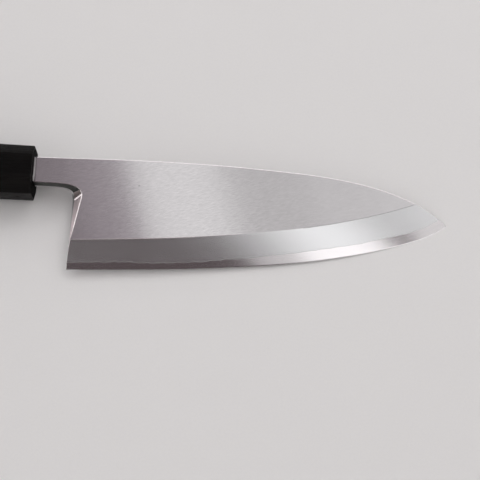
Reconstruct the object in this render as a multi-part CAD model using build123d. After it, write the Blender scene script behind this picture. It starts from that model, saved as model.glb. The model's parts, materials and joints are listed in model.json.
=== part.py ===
from build123d import *
import os

# Single-bevel deba knife: two-layer forged blade, horn ferrule and octagonal ebony grip.
# Lengths are in millimetres. The knife is built along its handle axis: X runs from the mouth
# of the ferrule to the tip, Y points to the spine, and Z rises from the hollow back of the
# blade to its bevelled side. At the end the knife is laid down as it rests on a table.

# Blade outline
blade_length = 180.0
neck_length = 18.2
heel_drop = 45.0
tip_drop = 14.1
spine_crown = 8.45
spine_crown_at = 69.0
neck_rise = 7.1
neck_drop = 5.1
neck_corner_radius = 0.9
machi_gap = 0.3

# Blade thickness and bevel
spine_thickness = 7.9
tip_thickness = 3.1
bevel_height_at_heel = 13.0
bevel_height_at_tip = 18.2
edge_land = 0.15
arris_chamfer = 0.45

# Hard steel layer, on the back of the blade
weld_height_on_bevel = 5.0

# Hollow of the back
hollow_depth = 0.5
rim_at_edge = 2.6
rim_at_spine = 3.4
hollow_setback_at_heel = 5.5
hollow_setback_at_tip = 15.0

# Finger notch: where its corner starts on the neck, how far it reaches down and how far the
# wall stands from the mouth of the ferrule, on the back and on the bevelled side
notch_start_on_back = 8.0
notch_start_on_front = 9.0
notch_corner_depth = 12.0
notch_wall_on_back = 18.5
notch_wall_on_front = 23.1
notch_foot_on_back = 18.3
notch_foot_on_front = 19.7

# Tang
tang_length = 98.0
tang_shoulder = 0.9
tang_end_height = 5.0
tang_end_thickness = 3.0

# Handle
handle_length = 134.0
ferrule_length = 30.0
handle_width = 23.8
handle_height = 21.8
butt_width = 25.2
handle_arris_radius = 0.4
mouth_chamfer = 0.35
butt_chamfer = 1.2
ferrule_web = 8.0

# Dowel, bedding and seal
dowel_diameter = 15.0
dowel_end_wall = 3.5
dowel_clearance = 0.05
bedding_gap = 0.5
seal_depth = 3.0

# One overrun serves every cut
overrun = 10.0

# Shares of the blade length from the heel, and of the rise from heel to tip
edge_shares = (
    (0, 0),
    (0.113, 0.032),
    (0.3, 0.098),
    (0.488, 0.201),
    (0.657, 0.34),
    (0.784, 0.5),
    (0.871, 0.643),
    (0.957, 0.838),
    (1, 1),
)

# Shares of the way from neck end to crown, and of the rise between them
spine_back_shares = (
    (0, 0),
    (0.279, 0.34),
    (0.665, 0.85),
)

# Shares of the way from crown to tip, and of the fall between them
spine_front_shares = (
    (0, 0),
    (0.179, 0.012),
    (0.358, 0.049),
    (0.509, 0.1),
    (0.63, 0.181),
    (0.752, 0.322),
    (0.875, 0.57),
    (0.938, 0.753),
    (1, 1),
)

# Shares of the blade length, and of the weld line's height on the bevel: the line wanders
weld_shares = (
    (-0.1, 0.58),
    (0, 0.58),
    (0.06, 0.61),
    (0.125, 0.64),
    (0.17, 0.62),
    (0.22, 0.54),
    (0.29, 0.56),
    (0.34, 0.56),
    (0.38, 0.65),
    (0.43, 0.72),
    (0.48, 0.73),
    (0.52, 0.82),
    (0.56, 0.86),
    (0.61, 0.91),
    (0.67, 0.99),
    (0.74, 0.96),
    (0.79, 0.98),
    (0.85, 1),
    (0.9, 0.92),
    (0.94, 0.96),
    (1.1, 1),
)

# Shares of the hollow's length from its heel end, and of its full depth there
hollow_shares = (
    (0, 0.2),
    (0.08, 0.7),
    (0.2, 1),
    (0.4, 1),
    (0.6, 1),
    (0.8, 0.8),
    (0.92, 0.5),
    (1, 0.2),
)

# Shares of the blade length at which the ground surfaces are drawn
station_shares = (-0.15, -0.05, 0, 0.1, 0.22, 0.34, 0.46, 0.58, 0.69, 0.79, 0.88, 0.95, 1)

thinning_share = 0.045
taper_power = 1.8
bevel_growth_power = 1.35
notch_front_fullness_share = 0.75
notch_back_fullness_share = 0.8
corner_facet_width_share = 0.246
corner_facet_height_share = 0.243
shoulder_to_axis_share = 0.5
past_tip_share = 1.1

# Where the belly of the edge touches the table, as a share of the blade length
touch_share = 0.96

# Halvings in the search for a place along a curve
search_steps = 50

tip_x = neck_length + blade_length
knife_axis_z = spine_thickness / 2
corner_facet_width = handle_width * corner_facet_width_share
corner_facet_height = handle_height * corner_facet_height_share
dowel_back_x = -tang_length - bedding_gap - dowel_end_wall


def edge_curve():
    """Cutting edge from heel to tip, seen square to the blade."""
    rise = heel_drop - tip_drop
    points = [(neck_length + along * blade_length, up * rise - heel_drop) for along, up in edge_shares]
    return Spline(points)


def spine_curve():
    """Spine from the end of the neck to the tip."""
    back = spine_crown_at - machi_gap
    lift = spine_crown - neck_rise
    points = [(machi_gap + along * back, neck_rise + up * lift) for along, up in spine_back_shares]
    front = tip_x - spine_crown_at
    fall = spine_crown + tip_drop
    for along, down in spine_front_shares:
        points.append((spine_crown_at + along * front, spine_crown - down * fall))
    return Spline(points)


def height_at(curve, x):
    """Y of a curve that runs on along X, at one X."""
    low, high = 0.0, 1.0
    if (curve @ 0).X > (curve @ 1).X:
        low, high = high, low
    for _ in range(search_steps):
        middle = (low + high) / 2
        if (curve @ middle).X < x:
            low = middle
        else:
            high = middle
    return (curve @ middle).Y


def flat_height(x, y):
    """Height of the blade's flat above its back: it thins to the tip and towards the edge."""
    along = min(max(x / tip_x, 0), past_tip_share)
    at_crown = spine_thickness - (spine_thickness - tip_thickness) * along**taper_power
    return at_crown - thinning_share * (spine_crown - y)


def bevel_height(x):
    """Distance in Y from the cutting edge up to the ridge line."""
    along = min(max((x - neck_length) / blade_length, 0), past_tip_share)
    growth = bevel_height_at_tip - bevel_height_at_heel
    return bevel_height_at_heel + growth * along**bevel_growth_power


def bevel_slope(x, edge_y):
    """Rise of the bevel over its run, at one X."""
    run = bevel_height(x)
    return (flat_height(x, edge_y + run) - edge_land) / run


def sheet_between(low_points, high_points):
    """Ruled face between two splines."""
    return Face.make_surface_from_curves(Edge.make_spline(low_points), Edge.make_spline(high_points))


def above_flat():
    """Everything above the blade's flat."""
    low, high = [], []
    for share in station_shares + (past_tip_share,):
        x = neck_length + share * blade_length
        low_y, high_y = -heel_drop - overrun, spine_crown + overrun
        low.append(Vector(x, low_y, flat_height(x, low_y)))
        high.append(Vector(x, high_y, flat_height(x, high_y)))
    return extrude(sheet_between(low, high), amount=spine_thickness + overrun, dir=(0, 0, 1))


def above_bevel(edge):
    """Everything above the bevel, from below the edge to above the ridge line."""
    low, high = [], []
    for share in station_shares:
        x = neck_length + share * blade_length
        edge_y = height_at(edge, max(x, neck_length))
        slope = bevel_slope(x, edge_y)
        run = bevel_height(x)
        below = Vector(x, edge_y - overrun, edge_land - overrun * slope)
        above = Vector(x, edge_y + run + overrun, edge_land + (run + overrun) * slope)
        low.append(below)
        high.append(above)
    low.append(low[-1] + (low[-1] - low[-2]))
    high.append(high[-1] + (high[-1] - high[-2]))
    return extrude(sheet_between(low, high), amount=spine_thickness + overrun, dir=(0, 0, 1))


def notch_points(start, wall, foot, fullness):
    """Points round the finger notch on one side of the blade, from the neck to the heel."""
    on_neck = Vector(start, -neck_drop)
    on_wall = Vector(wall, -notch_corner_depth)
    on_ridge = Vector(foot, bevel_height_at_heel - heel_drop)
    climb = (notch_corner_depth - neck_drop) / (on_wall.Y - on_ridge.Y)
    corner = on_wall + (on_wall - on_ridge) * climb
    return [
        on_neck,
        on_neck + (corner - on_neck) * fullness,
        on_wall + (corner - on_wall) * fullness,
        on_wall,
        on_ridge,
    ]


def notch_section(points):
    """Closed section of the notch at one level, open to the ferrule and below the heel."""
    level = Vector(0, 0, points[0].Z)
    heel = Vector(neck_length, -heel_drop) + level
    below_heel = Vector(neck_length, -heel_drop - overrun) + level
    outer = Vector(-overrun, -heel_drop - overrun) + level
    back_on_neck = Vector(-overrun, -neck_drop) + level
    on_neck, first_pull, second_pull, on_wall, foot = points
    return Face(
        Wire(
            [
                Line(back_on_neck, on_neck),
                Bezier(on_neck, first_pull, second_pull, on_wall),
                Line(on_wall, foot),
                Line(foot, heel),
                Line(heel, below_heel),
                Line(below_heel, outer),
                Line(outer, back_on_neck),
            ]
        )
    )


def finger_notch():
    """The notch between neck and heel, whose wall slants back towards the bevelled side."""
    back = notch_points(
        notch_start_on_back, notch_wall_on_back, notch_foot_on_back, notch_back_fullness_share
    )
    front = notch_points(
        notch_start_on_front, notch_wall_on_front, notch_foot_on_front, notch_front_fullness_share
    )
    rise = flat_height(notch_wall_on_front, -notch_corner_depth)
    sections = []
    for z in (-overrun, rise + overrun):
        points = [low + (high - low) * (z / rise) for low, high in zip(back, front)]
        sections.append(notch_section([point + Vector(0, 0, z) for point in points]))
    return loft(sections, ruled=True)


def blade_blank(edge, spine):
    """Plate in the blade's outline, still with the notch filled and of full thickness."""
    heel = Vector(neck_length, -heel_drop)
    outline = Wire(
        [
            edge,
            spine,
            Line((machi_gap, neck_rise), (machi_gap, -heel_drop)),
            Line((machi_gap, -heel_drop), heel),
        ]
    )
    plate = extrude(Face(outline), amount=spine_thickness + overrun, dir=(0, 0, 1))
    corner = plate.edges().filter_by(Axis.Z).sort_by_distance((machi_gap, neck_rise, 0))[0]
    return fillet(corner, radius=neck_corner_radius)


def back_hollow(edge, spine):
    """Shallow hollow ground into the back, inside a flat rim."""
    start = neck_length + hollow_setback_at_heel
    length = blade_length - hollow_setback_at_heel - hollow_setback_at_tip
    sections = []
    for along, depth_share in hollow_shares:
        x = start + along * length
        low = height_at(edge, x) + rim_at_edge
        high = height_at(spine, x) - rim_at_spine
        depth = hollow_depth * depth_share
        across = Plane(origin=(x, 0, 0), x_dir=(0, 1, 0), z_dir=(1, 0, 0))
        outline = Wire(
            [
                ThreePointArc((low, 0), ((low + high) / 2, depth), (high, 0)),
                Line((high, 0), (high, -overrun)),
                Line((high, -overrun), (low, -overrun)),
                Line((low, -overrun), (low, 0)),
            ]
        )
        sections.append(across * Face(outline))
    return loft(sections, ruled=True)


def hard_side(edge):
    """Everything on the back's side of the weld, whose line wanders along the bevel."""
    top = []
    for along, share in weld_shares:
        x = neck_length + along * blade_length
        edge_y = height_at(edge, min(max(x, neck_length), tip_x))
        top.append((x, edge_land + bevel_slope(x, edge_y) * weld_height_on_bevel * share))
    first, last = top[0], top[-1]
    level = Plane(origin=(0, spine_crown + overrun, 0), x_dir=(1, 0, 0), z_dir=(0, -1, 0))
    outline = Wire(
        [
            Spline(top),
            Line(last, (last[0], -overrun)),
            Line((last[0], -overrun), (first[0], -overrun)),
            Line((first[0], -overrun), first),
        ]
    )
    width = spine_crown + heel_drop + 2 * overrun
    return extrude(level * Face(outline), amount=width, dir=(0, -1, 0))


def tang_wedge(grow):
    """The tapering tang, grown on all sides by a clearance."""
    root_height = neck_rise + neck_drop - 2 * tang_shoulder
    root_thickness = spine_thickness - 2 * tang_shoulder
    root_y = (neck_rise - neck_drop) / 2
    end_y = root_y * shoulder_to_axis_share
    root = Plane(origin=(machi_gap, root_y, knife_axis_z), x_dir=(0, 1, 0), z_dir=(-1, 0, 0))
    end = Plane(
        origin=(-tang_length - grow, end_y, knife_axis_z), x_dir=(0, 1, 0), z_dir=(-1, 0, 0)
    )
    sections = [
        root * Rectangle(root_height + 2 * grow, root_thickness + 2 * grow),
        end * Rectangle(tang_end_height + 2 * grow, tang_end_thickness + 2 * grow),
    ]
    return loft(sections, ruled=True)


def octagon(x, scale, inset):
    """The handle's section at one X, with eased corners, drawn in from its full size."""
    half_width = handle_width * scale / 2
    half_height = handle_height * scale / 2
    flat_half = half_width - corner_facet_width * scale
    side_half = half_height - corner_facet_height * scale
    draw_y = (half_width - inset) / half_width
    draw_z = (half_height - inset) / half_height
    quarter = [(half_width, side_half), (flat_half, half_height)]
    corners = [(y * draw_y, z * draw_z) for y, z in quarter]
    corners += [(-y, z) for y, z in reversed(corners)]
    corners += [(-y, -z) for y, z in corners]
    outline = Wire.make_polygon([Vector(*corner) for corner in corners], close=True)
    across = Plane(origin=(x, 0, knife_axis_z), x_dir=(0, 1, 0), z_dir=(1, 0, 0))
    face = Face(outline)
    eased = fillet(face.vertices(), radius=handle_arris_radius)
    return across * eased


def whole_handle():
    """Ferrule and grip in one, swelling to a bevelled butt."""
    swell = butt_width / handle_width
    sections = [
        octagon(0, 1, mouth_chamfer),
        octagon(-mouth_chamfer, 1, 0),
        octagon(butt_chamfer - handle_length, swell, 0),
        octagon(-handle_length, swell, butt_chamfer),
    ]
    return loft(sections, ruled=True)


def slab(x_back, x_front):
    """Everything between two places along the handle."""
    side = handle_width + 2 * overrun
    middle = (x_back + x_front) / 2
    return Location((middle, 0, knife_axis_z)) * Box(x_front - x_back, side, side)


def rod(x_back, x_front, diameter):
    """Round rod along the handle's axis."""
    across = Plane(origin=(x_back, 0, knife_axis_z), z_dir=(1, 0, 0))
    return extrude(across * Circle(diameter / 2), amount=x_front - x_back, dir=(1, 0, 0))


def one_solid(shape):
    """The single solid of a piece."""
    solids = shape.solids()
    if len(solids) != 1:
        raise ValueError(f"{len(solids)} solids where one was expected")
    return solids[0]


def ease_arris(blade):
    """Narrow chamfer round the flat's outer edge, along spine, neck end and neck."""
    outline = blade.faces().sort_by(Axis.Z)[-1].edges()
    along_spine = outline.sort_by(Axis.Y)[-1]
    under_neck = (notch_start_on_front / 2, -neck_drop, spine_thickness)
    along_neck = outline.sort_by_distance(under_neck)[0]
    return chamfer([along_spine, along_neck], length=arris_chamfer)


def make_blade():
    """Soft-iron body and hard steel layer, parted at the weld."""
    edge = edge_curve()
    spine = spine_curve()
    blade = ease_arris(blade_blank(edge, spine) - above_flat() - finger_notch())
    blade = blade - above_bevel(edge) - back_hollow(edge, spine)
    behind_weld = hard_side(edge)
    hagane = one_solid(blade & behind_weld)
    jigane = one_solid(blade - behind_weld)
    return jigane, hagane


def make_handle(tang):
    """Ferrule, grip, dowel, bedding and seal, fitted round the tang."""
    body = whole_handle()
    pocket = tang_wedge(bedding_gap)
    ferrule = body & slab(-ferrule_length, overrun)
    ferrule -= rod(-ferrule_length - overrun, -ferrule_web, dowel_diameter + 2 * dowel_clearance)
    ferrule -= pocket
    grip = body & slab(-handle_length - overrun, -ferrule_length)
    grip -= rod(dowel_back_x, overrun, dowel_diameter + 2 * dowel_clearance)
    dowel = rod(dowel_back_x, -ferrule_web, dowel_diameter) - pocket
    filling = pocket - tang
    seal = filling & slab(-seal_depth, overrun)
    bedding = filling & slab(-handle_length, -seal_depth)
    return {
        "horn_ferrule": one_solid(ferrule),
        "grip": one_solid(grip),
        "core_dowel": one_solid(dowel),
        "tang_bedding": one_solid(bedding),
        "mouth_seal": one_solid(seal),
    }


def resting_place():
    """Turn and move that lays the knife down on its belly near the tip and on the ferrule."""
    edge = edge_curve()
    x = neck_length + touch_share * blade_length
    belly = Vector(x, height_at(edge, x))
    ahead = Vector(tip_x, -tip_drop)
    flat_half = handle_width / 2 - corner_facet_width
    corner = Vector(-mouth_chamfer, -flat_half, knife_axis_z - handle_height / 2)
    up = (ahead - belly).cross(corner - belly).normalized()
    return Plane(origin=belly, x_dir=(1, 0, 0), z_dir=up).location.inverse()


def make_pieces():
    """Every piece by its name, in the resting frame with the origin under the middle."""
    jigane, hagane = make_blade()
    tang = tang_wedge(0)
    pieces = {"jigane_body": one_solid(jigane + tang), "hagane_layer": hagane}
    pieces.update(make_handle(tang))
    settle = resting_place()
    laid = {name: settle * piece for name, piece in pieces.items()}
    boxes = [piece.bounding_box() for piece in laid.values()]
    middle_x = (min(box.min.X for box in boxes) + max(box.max.X for box in boxes)) / 2
    middle_y = (min(box.min.Y for box in boxes) + max(box.max.Y for box in boxes)) / 2
    centre = Location((-middle_x, -middle_y, 0))
    return {name: centre * piece for name, piece in laid.items()}, centre * settle


if __name__ == "__main__":
    os.makedirs("parts", exist_ok=True)
    made, placement = make_pieces()
    for name, piece in made.items():
        export_step(piece, f"parts/{name}.step")
        print(name, round(piece.volume), piece.bounding_box())
    print("placement", placement)
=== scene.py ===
"""Studio scene of a single-bevel deba knife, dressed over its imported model.

The blade, ferrule and grip are modelled again as fine meshes in the knife's own millimetres,
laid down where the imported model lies, and finished with procedural steel, horn and ebony.
"""

import json
import logging
import math
from collections.abc import Callable, Sequence
from dataclasses import dataclass
from enum import Enum

import bpy
import numpy as np
from mathutils import Euler, Matrix, Vector

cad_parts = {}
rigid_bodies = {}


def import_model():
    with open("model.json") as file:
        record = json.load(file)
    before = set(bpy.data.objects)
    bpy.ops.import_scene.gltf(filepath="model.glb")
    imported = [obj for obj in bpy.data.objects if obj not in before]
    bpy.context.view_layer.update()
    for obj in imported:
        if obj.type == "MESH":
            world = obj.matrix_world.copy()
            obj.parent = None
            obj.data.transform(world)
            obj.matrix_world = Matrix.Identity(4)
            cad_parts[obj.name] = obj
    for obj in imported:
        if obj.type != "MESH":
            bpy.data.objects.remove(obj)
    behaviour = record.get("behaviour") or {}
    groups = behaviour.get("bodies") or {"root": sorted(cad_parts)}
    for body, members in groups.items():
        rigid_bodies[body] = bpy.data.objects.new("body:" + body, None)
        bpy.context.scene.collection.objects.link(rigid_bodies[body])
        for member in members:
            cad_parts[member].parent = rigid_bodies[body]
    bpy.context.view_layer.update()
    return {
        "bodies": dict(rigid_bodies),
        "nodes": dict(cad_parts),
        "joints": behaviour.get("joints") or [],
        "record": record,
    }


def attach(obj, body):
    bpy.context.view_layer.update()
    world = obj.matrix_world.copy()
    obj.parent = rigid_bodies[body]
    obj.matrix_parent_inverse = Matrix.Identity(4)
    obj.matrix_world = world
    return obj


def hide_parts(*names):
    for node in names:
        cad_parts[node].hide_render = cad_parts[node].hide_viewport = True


log = logging.getLogger("deba")

MM = 0.001
MAP = "grind"
BODY = "root"
CURVE_SAMPLES = 4000
WELD_TOLERANCE = 1e-4
FINE_STEP = 0.05
TINY = 1e-6
TINY_DIGITS = 6
NOISE_ROUGHNESS = 0.6
NOISE_SPAN = (0.3, 0.7)

# Directions towards the tip, towards the spine and away from the table
AHEAD, ASIDE, UP = np.eye(3)

# How the knife lies on the table: turn in degrees about its own X, Y and Z in turn, and move
KNIFE_TURN = (2.88042, 1.88323, -0.094738)
KNIFE_MOVE = (-31.9637, 16.1377, 7.22941)

# Steps of the blade's rim up to each of its marks, from the heel over the neck and the spine
RIM_STEPS = {
    "weld": 5, "foot": 10, "straight": 10, "crease": 3, "wall": 1, "turn": 4, "bend": 4, "neck": 8,
    "under": 8, "end": 8, "corner": 3, "arc": 3, "shoulder": 13, "ridge_end": 96, "weld_end": 16, "tip": 10,
}

Array = np.ndarray
Socket = bpy.types.NodeSocket
Materials = dict[str, bpy.types.Material]
Height = Callable[[Array], Array]
Pair = tuple[float, float]
Triple = tuple[float, float, float]
Shares = tuple[Pair, ...]
Rows = tuple[Triple, ...]


class Grind(Enum):
    """Which way the grinding lines of a surface run."""

    SLANTED = "slanted across the flat"
    ALONG = "along the blade"
    ACROSS = "from spine to edge"


def knife_to_table() -> Matrix:
    """Matrix from the knife's own millimetres to the table frame in metres."""
    turn = Euler([math.radians(angle) for angle in KNIFE_TURN], "ZYX").to_matrix().to_4x4()
    return Matrix.Scale(MM, 4) @ Matrix.Translation(KNIFE_MOVE) @ turn


def unit(vectors: Array) -> Array:
    """Vectors brought to length one; empty ones stay empty."""
    length = np.linalg.norm(vectors, axis=-1, keepdims=True)
    return vectors / np.where(length > 0, length, 1.0)


def blend(first: Array, second: Array, share: float) -> Array:
    """Unit directions part of the way from one set to another."""
    return unit(first * (1 - share) + second * share)


def stretch(start: Sequence[float], end: Sequence[float], steps: int) -> Array:
    """Points from start to end, both taken in, with equal steps between them."""
    share = np.linspace(0, 1, steps + 1)[:, None]
    return np.array(start, float) * (1 - share) + np.array(end, float) * share


def placed(shares: Shares, start: Sequence[float], reach: Sequence[float]) -> list[Pair]:
    """Points given as shares of a reach, along and up, from a start."""
    return [(start[0] + a * reach[0], start[1] + b * reach[1]) for a, b in shares]


def rubbed_middle(low: Array, sharp: Array, high: Array) -> Array:
    """Middle line of a rubbed edge, halfway back from the sharp line to its two sides."""
    return 0.25 * low + 0.5 * sharp + 0.25 * high


def walked(line: Array) -> Array:
    """Distance of each point from the first, measured along the line."""
    return np.concatenate([[0.0], np.cumsum(np.linalg.norm(np.diff(line, axis=0), axis=1))])


def back_plane(flat: Array) -> Array:
    """Height of the flat back at plane points: none."""
    return 0 * flat[..., 0]


def pulled_bend(points: Sequence[Array], share: Array) -> Array:
    """Cubic Bezier bend.

    Args:
        points: Its four control points.
        share: Shares of the way along it.

    Returns:
        One point for each share.
    """
    start, first, second, end = points
    go = share[:, None]
    back = 1 - go
    return start * back**3 + 3 * first * back**2 * go + 3 * second * back * go**2 + end * go**3


def new_object(name: str, data: bpy.types.ID) -> bpy.types.Object:
    """Object of a mesh, lamp or camera, linked into the scene.

    Args:
        name: The object's name.
        data: What it holds.

    Returns:
        The new object.
    """
    thing = bpy.data.objects.new(name, data)
    bpy.context.scene.collection.objects.link(thing)
    return thing


class SmoothCurve:
    """Cubic curve through given points, spaced by chord length and read off by X."""

    def __init__(self, points: Sequence[Sequence[float]]) -> None:
        """Lay the curve through the points.

        Args:
            points: X and height of each point, in order of X.
        """
        knots = np.array(points, float)
        at = walked(knots)
        where = np.linspace(0, at[-1], CURVE_SAMPLES)
        self.x = self._through(at, knots[:, 0], where)
        self.height = self._through(at, knots[:, 1], where)

    @staticmethod
    def _through(at: Array, values: Array, where: Array) -> Array:
        """Cubic spline whose end slopes follow the cubic of the four end points.

        Args:
            at: Place of each value along the curve.
            values: Values to pass through.
            where: Places to read.

        Returns:
            The spline's value at each place.
        """
        gap = np.diff(at)
        rise = np.diff(values) / gap
        count = len(at)
        system = np.zeros((count, count))
        right = np.zeros(count)
        ends = ((0, slice(None, 4)), (count - 1, slice(-4, None)))
        for place, near in ends:
            cubic = np.polyfit(at[near] - at[place], values[near], 3)
            system[place, place] = 1
            right[place] = cubic[2]
        for i in range(1, count - 1):
            before, after = 1 / gap[i - 1], 1 / gap[i]
            system[i, i - 1 : i + 2] = before, 2 * (before + after), after
            right[i] = 3 * (rise[i - 1] * before + rise[i] * after)
        slope = np.linalg.solve(system, right)
        span = np.clip(np.searchsorted(at, where) - 1, 0, count - 2)
        t = (where - at[span]) / gap[span]
        start = values[span] * (1 + 2 * t) * (1 - t) ** 2 + values[span + 1] * t**2 * (3 - 2 * t)
        lean = gap[span] * (slope[span] * t * (1 - t) ** 2 - slope[span + 1] * t**2 * (1 - t))
        return start + lean

    def __call__(self, x: Array | float) -> Array:
        """Height of the curve at each X."""
        return np.interp(x, self.x, self.height)


def coons(bottom: Array, top: Array, left: Array, right: Array) -> Array:
    """Grid of points spread between four boundary lines.

    Args:
        bottom: Points of the first row.
        top: Points of the last row.
        left: Points of the first column.
        right: Points of the last column.

    Returns:
        Array of rows, columns and coordinates.
    """
    across = np.linspace(0, 1, len(bottom))[None, :, None]
    up = np.linspace(0, 1, len(left))[:, None, None]
    ruled = bottom[None] * (1 - up) + top[None] * up
    ruled = ruled + left[:, None] * (1 - across) + right[:, None] * across
    low = bottom[0] * (1 - across) + bottom[-1] * across
    high = top[0] * (1 - across) + top[-1] * across
    return ruled - low * (1 - up) - high * up


def narrowing(bottom: Array, top: Array, left: Array) -> Array:
    """Grid between a lower and an upper line that meet in one point on the right."""
    return coons(bottom, top, left, np.repeat(top[-1:], len(left), axis=0))


def lifted(flat: Array, height: Height) -> Array:
    """Plane points raised onto a surface, given by its height at such points."""
    return np.concatenate([flat, height(flat)[..., None]], axis=-1)


def facing_up(flat: Array, height: Height) -> Array:
    """Unit normals of a surface given by its height, on the side of rising Z.

    Args:
        flat: Points in X and Y.
        height: Surface height at such points.

    Returns:
        A normal for each point.
    """
    slopes = []
    for axis in (0, 1):
        step = np.zeros(2)
        step[axis] = FINE_STEP
        slopes.append((height(flat + step) - height(flat - step)) / (2 * FINE_STEP))
    return unit(np.stack([-slopes[0], -slopes[1], np.ones(flat.shape[:-1])], axis=-1))


def facing_out(points: Array, inside: Array) -> Array:
    """Unit normals of a grid of points, on the side away from an inner point.

    Args:
        points: Array of rows, columns and coordinates.
        inside: Point, or one for each grid point, that the normals turn away from.

    Returns:
        A normal for each point.
    """
    normals = unit(np.cross(np.gradient(points, axis=1), np.gradient(points, axis=0)))
    away = np.sum(normals * (points - inside), axis=-1, keepdims=True)
    return np.where(away < 0, -normals, normals)


class Shell:
    """A closed mesh gathered from grids of surface points that share their borders."""

    def __init__(self, name: str, finishes: Sequence[str]) -> None:
        """Start an empty shell.

        Args:
            name: The piece's name.
            finishes: Names of its finishes, in the order of its material slots.
        """
        self.name = name
        self.finishes = list(finishes)
        self.points: list[Array] = []
        self.faces: list[tuple[list[int], int]] = []
        self.normals: list[Array] = []
        self.maps: list[Array] = []
        self.count = 0

    def add(self, points: Array, normals: Array, finish: str, uv: Array | None = None) -> None:
        """Lay one grid of quads.

        Args:
            points: Array of rows, columns and coordinates, in knife millimetres.
            normals: Unit normal of each point, or one for all, on the outer side.
            finish: Name of its finish.
            uv: Grinding coordinates of each point, in millimetres; X and Y when left out.
        """
        rows, columns = points.shape[:2]
        normals = np.broadcast_to(normals, points.shape)
        number = self.count + np.arange(rows * columns).reshape(rows, columns)
        corners = np.stack([number[:-1, :-1], number[:-1, 1:], number[1:, 1:], number[1:, :-1]], axis=-1)
        diagonal = points[1:, 1:] - points[:-1, :-1]
        other = points[1:, :-1] - points[:-1, 1:]
        turned = np.sum(np.cross(diagonal, other) * normals[:-1, :-1], axis=-1)
        if turned.sum() < 0:
            corners = corners[..., ::-1]
        slot = self.finishes.index(finish)
        self.faces += [(list(quad), slot) for quad in corners.reshape(-1, 4)]
        self.points.append(points.reshape(-1, 3))
        self.normals.append(normals.reshape(-1, 3))
        self.maps.append((points[..., :2] if uv is None else uv).reshape(-1, 2))
        self.count += rows * columns

    def build(self, materials: Materials) -> bpy.types.Object:
        """Weld the grids into one object in the table frame.

        Args:
            materials: Materials by finish name.

        Returns:
            The new object, linked into the scene.
        """
        points = np.concatenate(self.points)
        normals = np.concatenate(self.normals)
        maps = np.concatenate(self.maps) * MM
        keys = np.round(points / WELD_TOLERANCE).astype(np.int64)
        _, first, welded = np.unique(keys, axis=0, return_index=True, return_inverse=True)
        welded = welded.reshape(-1)
        place = knife_to_table()
        turn = np.array(place.to_3x3()) / MM
        table_points = points[first] @ (turn.T * MM) + np.array(place.translation)
        table_normals = unit(normals @ turn.T)
        faces, sources, slots = [], [], []
        for quad, slot in self.faces:
            kept = [corner for i, corner in enumerate(quad) if welded[corner] != welded[quad[i - 1]]]
            if len({welded[corner] for corner in kept}) >= 3:
                faces.append([int(welded[corner]) for corner in kept])
                sources += kept
                slots.append(slot)
        mesh = bpy.data.meshes.new(self.name)
        mesh.from_pydata(table_points.tolist(), [], faces)
        for finish in self.finishes:
            mesh.materials.append(materials[finish])
        mesh.polygons.foreach_set("material_index", slots)
        layer = mesh.uv_layers.new(name=MAP)
        layer.data.foreach_set("uv", maps[sources].astype(np.float32).reshape(-1))
        mesh.polygons.foreach_set("use_smooth", [True] * len(faces))
        mesh.normals_split_custom_set(table_normals[sources].tolist())
        return new_object(self.name, mesh)


@dataclass
class Rim:
    """Points round the blade from the heel over the neck and the spine to the tip.

    They are given in X and Y on the back and, at the height of the rise, on the front.
    """

    back: Array
    front: Array
    marks: dict[str, int]
    rise: float

    def at(self, height: Array | float) -> Array:
        """Rim points in X and Y at one height each."""
        share = np.broadcast_to(np.asarray(height, float) / self.rise, (len(self.back),))
        return self.back + (self.front - self.back) * share[:, None]

    def raised(self, height: Array | float) -> Array:
        """Rim points in X, Y and Z at one height each."""
        level = np.broadcast_to(np.asarray(height, float), (len(self.back),))
        return np.concatenate([self.at(height), level[:, None]], axis=-1)

    def part(self, start: str, end: str) -> slice:
        """Slice from one mark to another, both taken in."""
        return slice(self.marks[start], self.marks[end] + 1)


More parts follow.
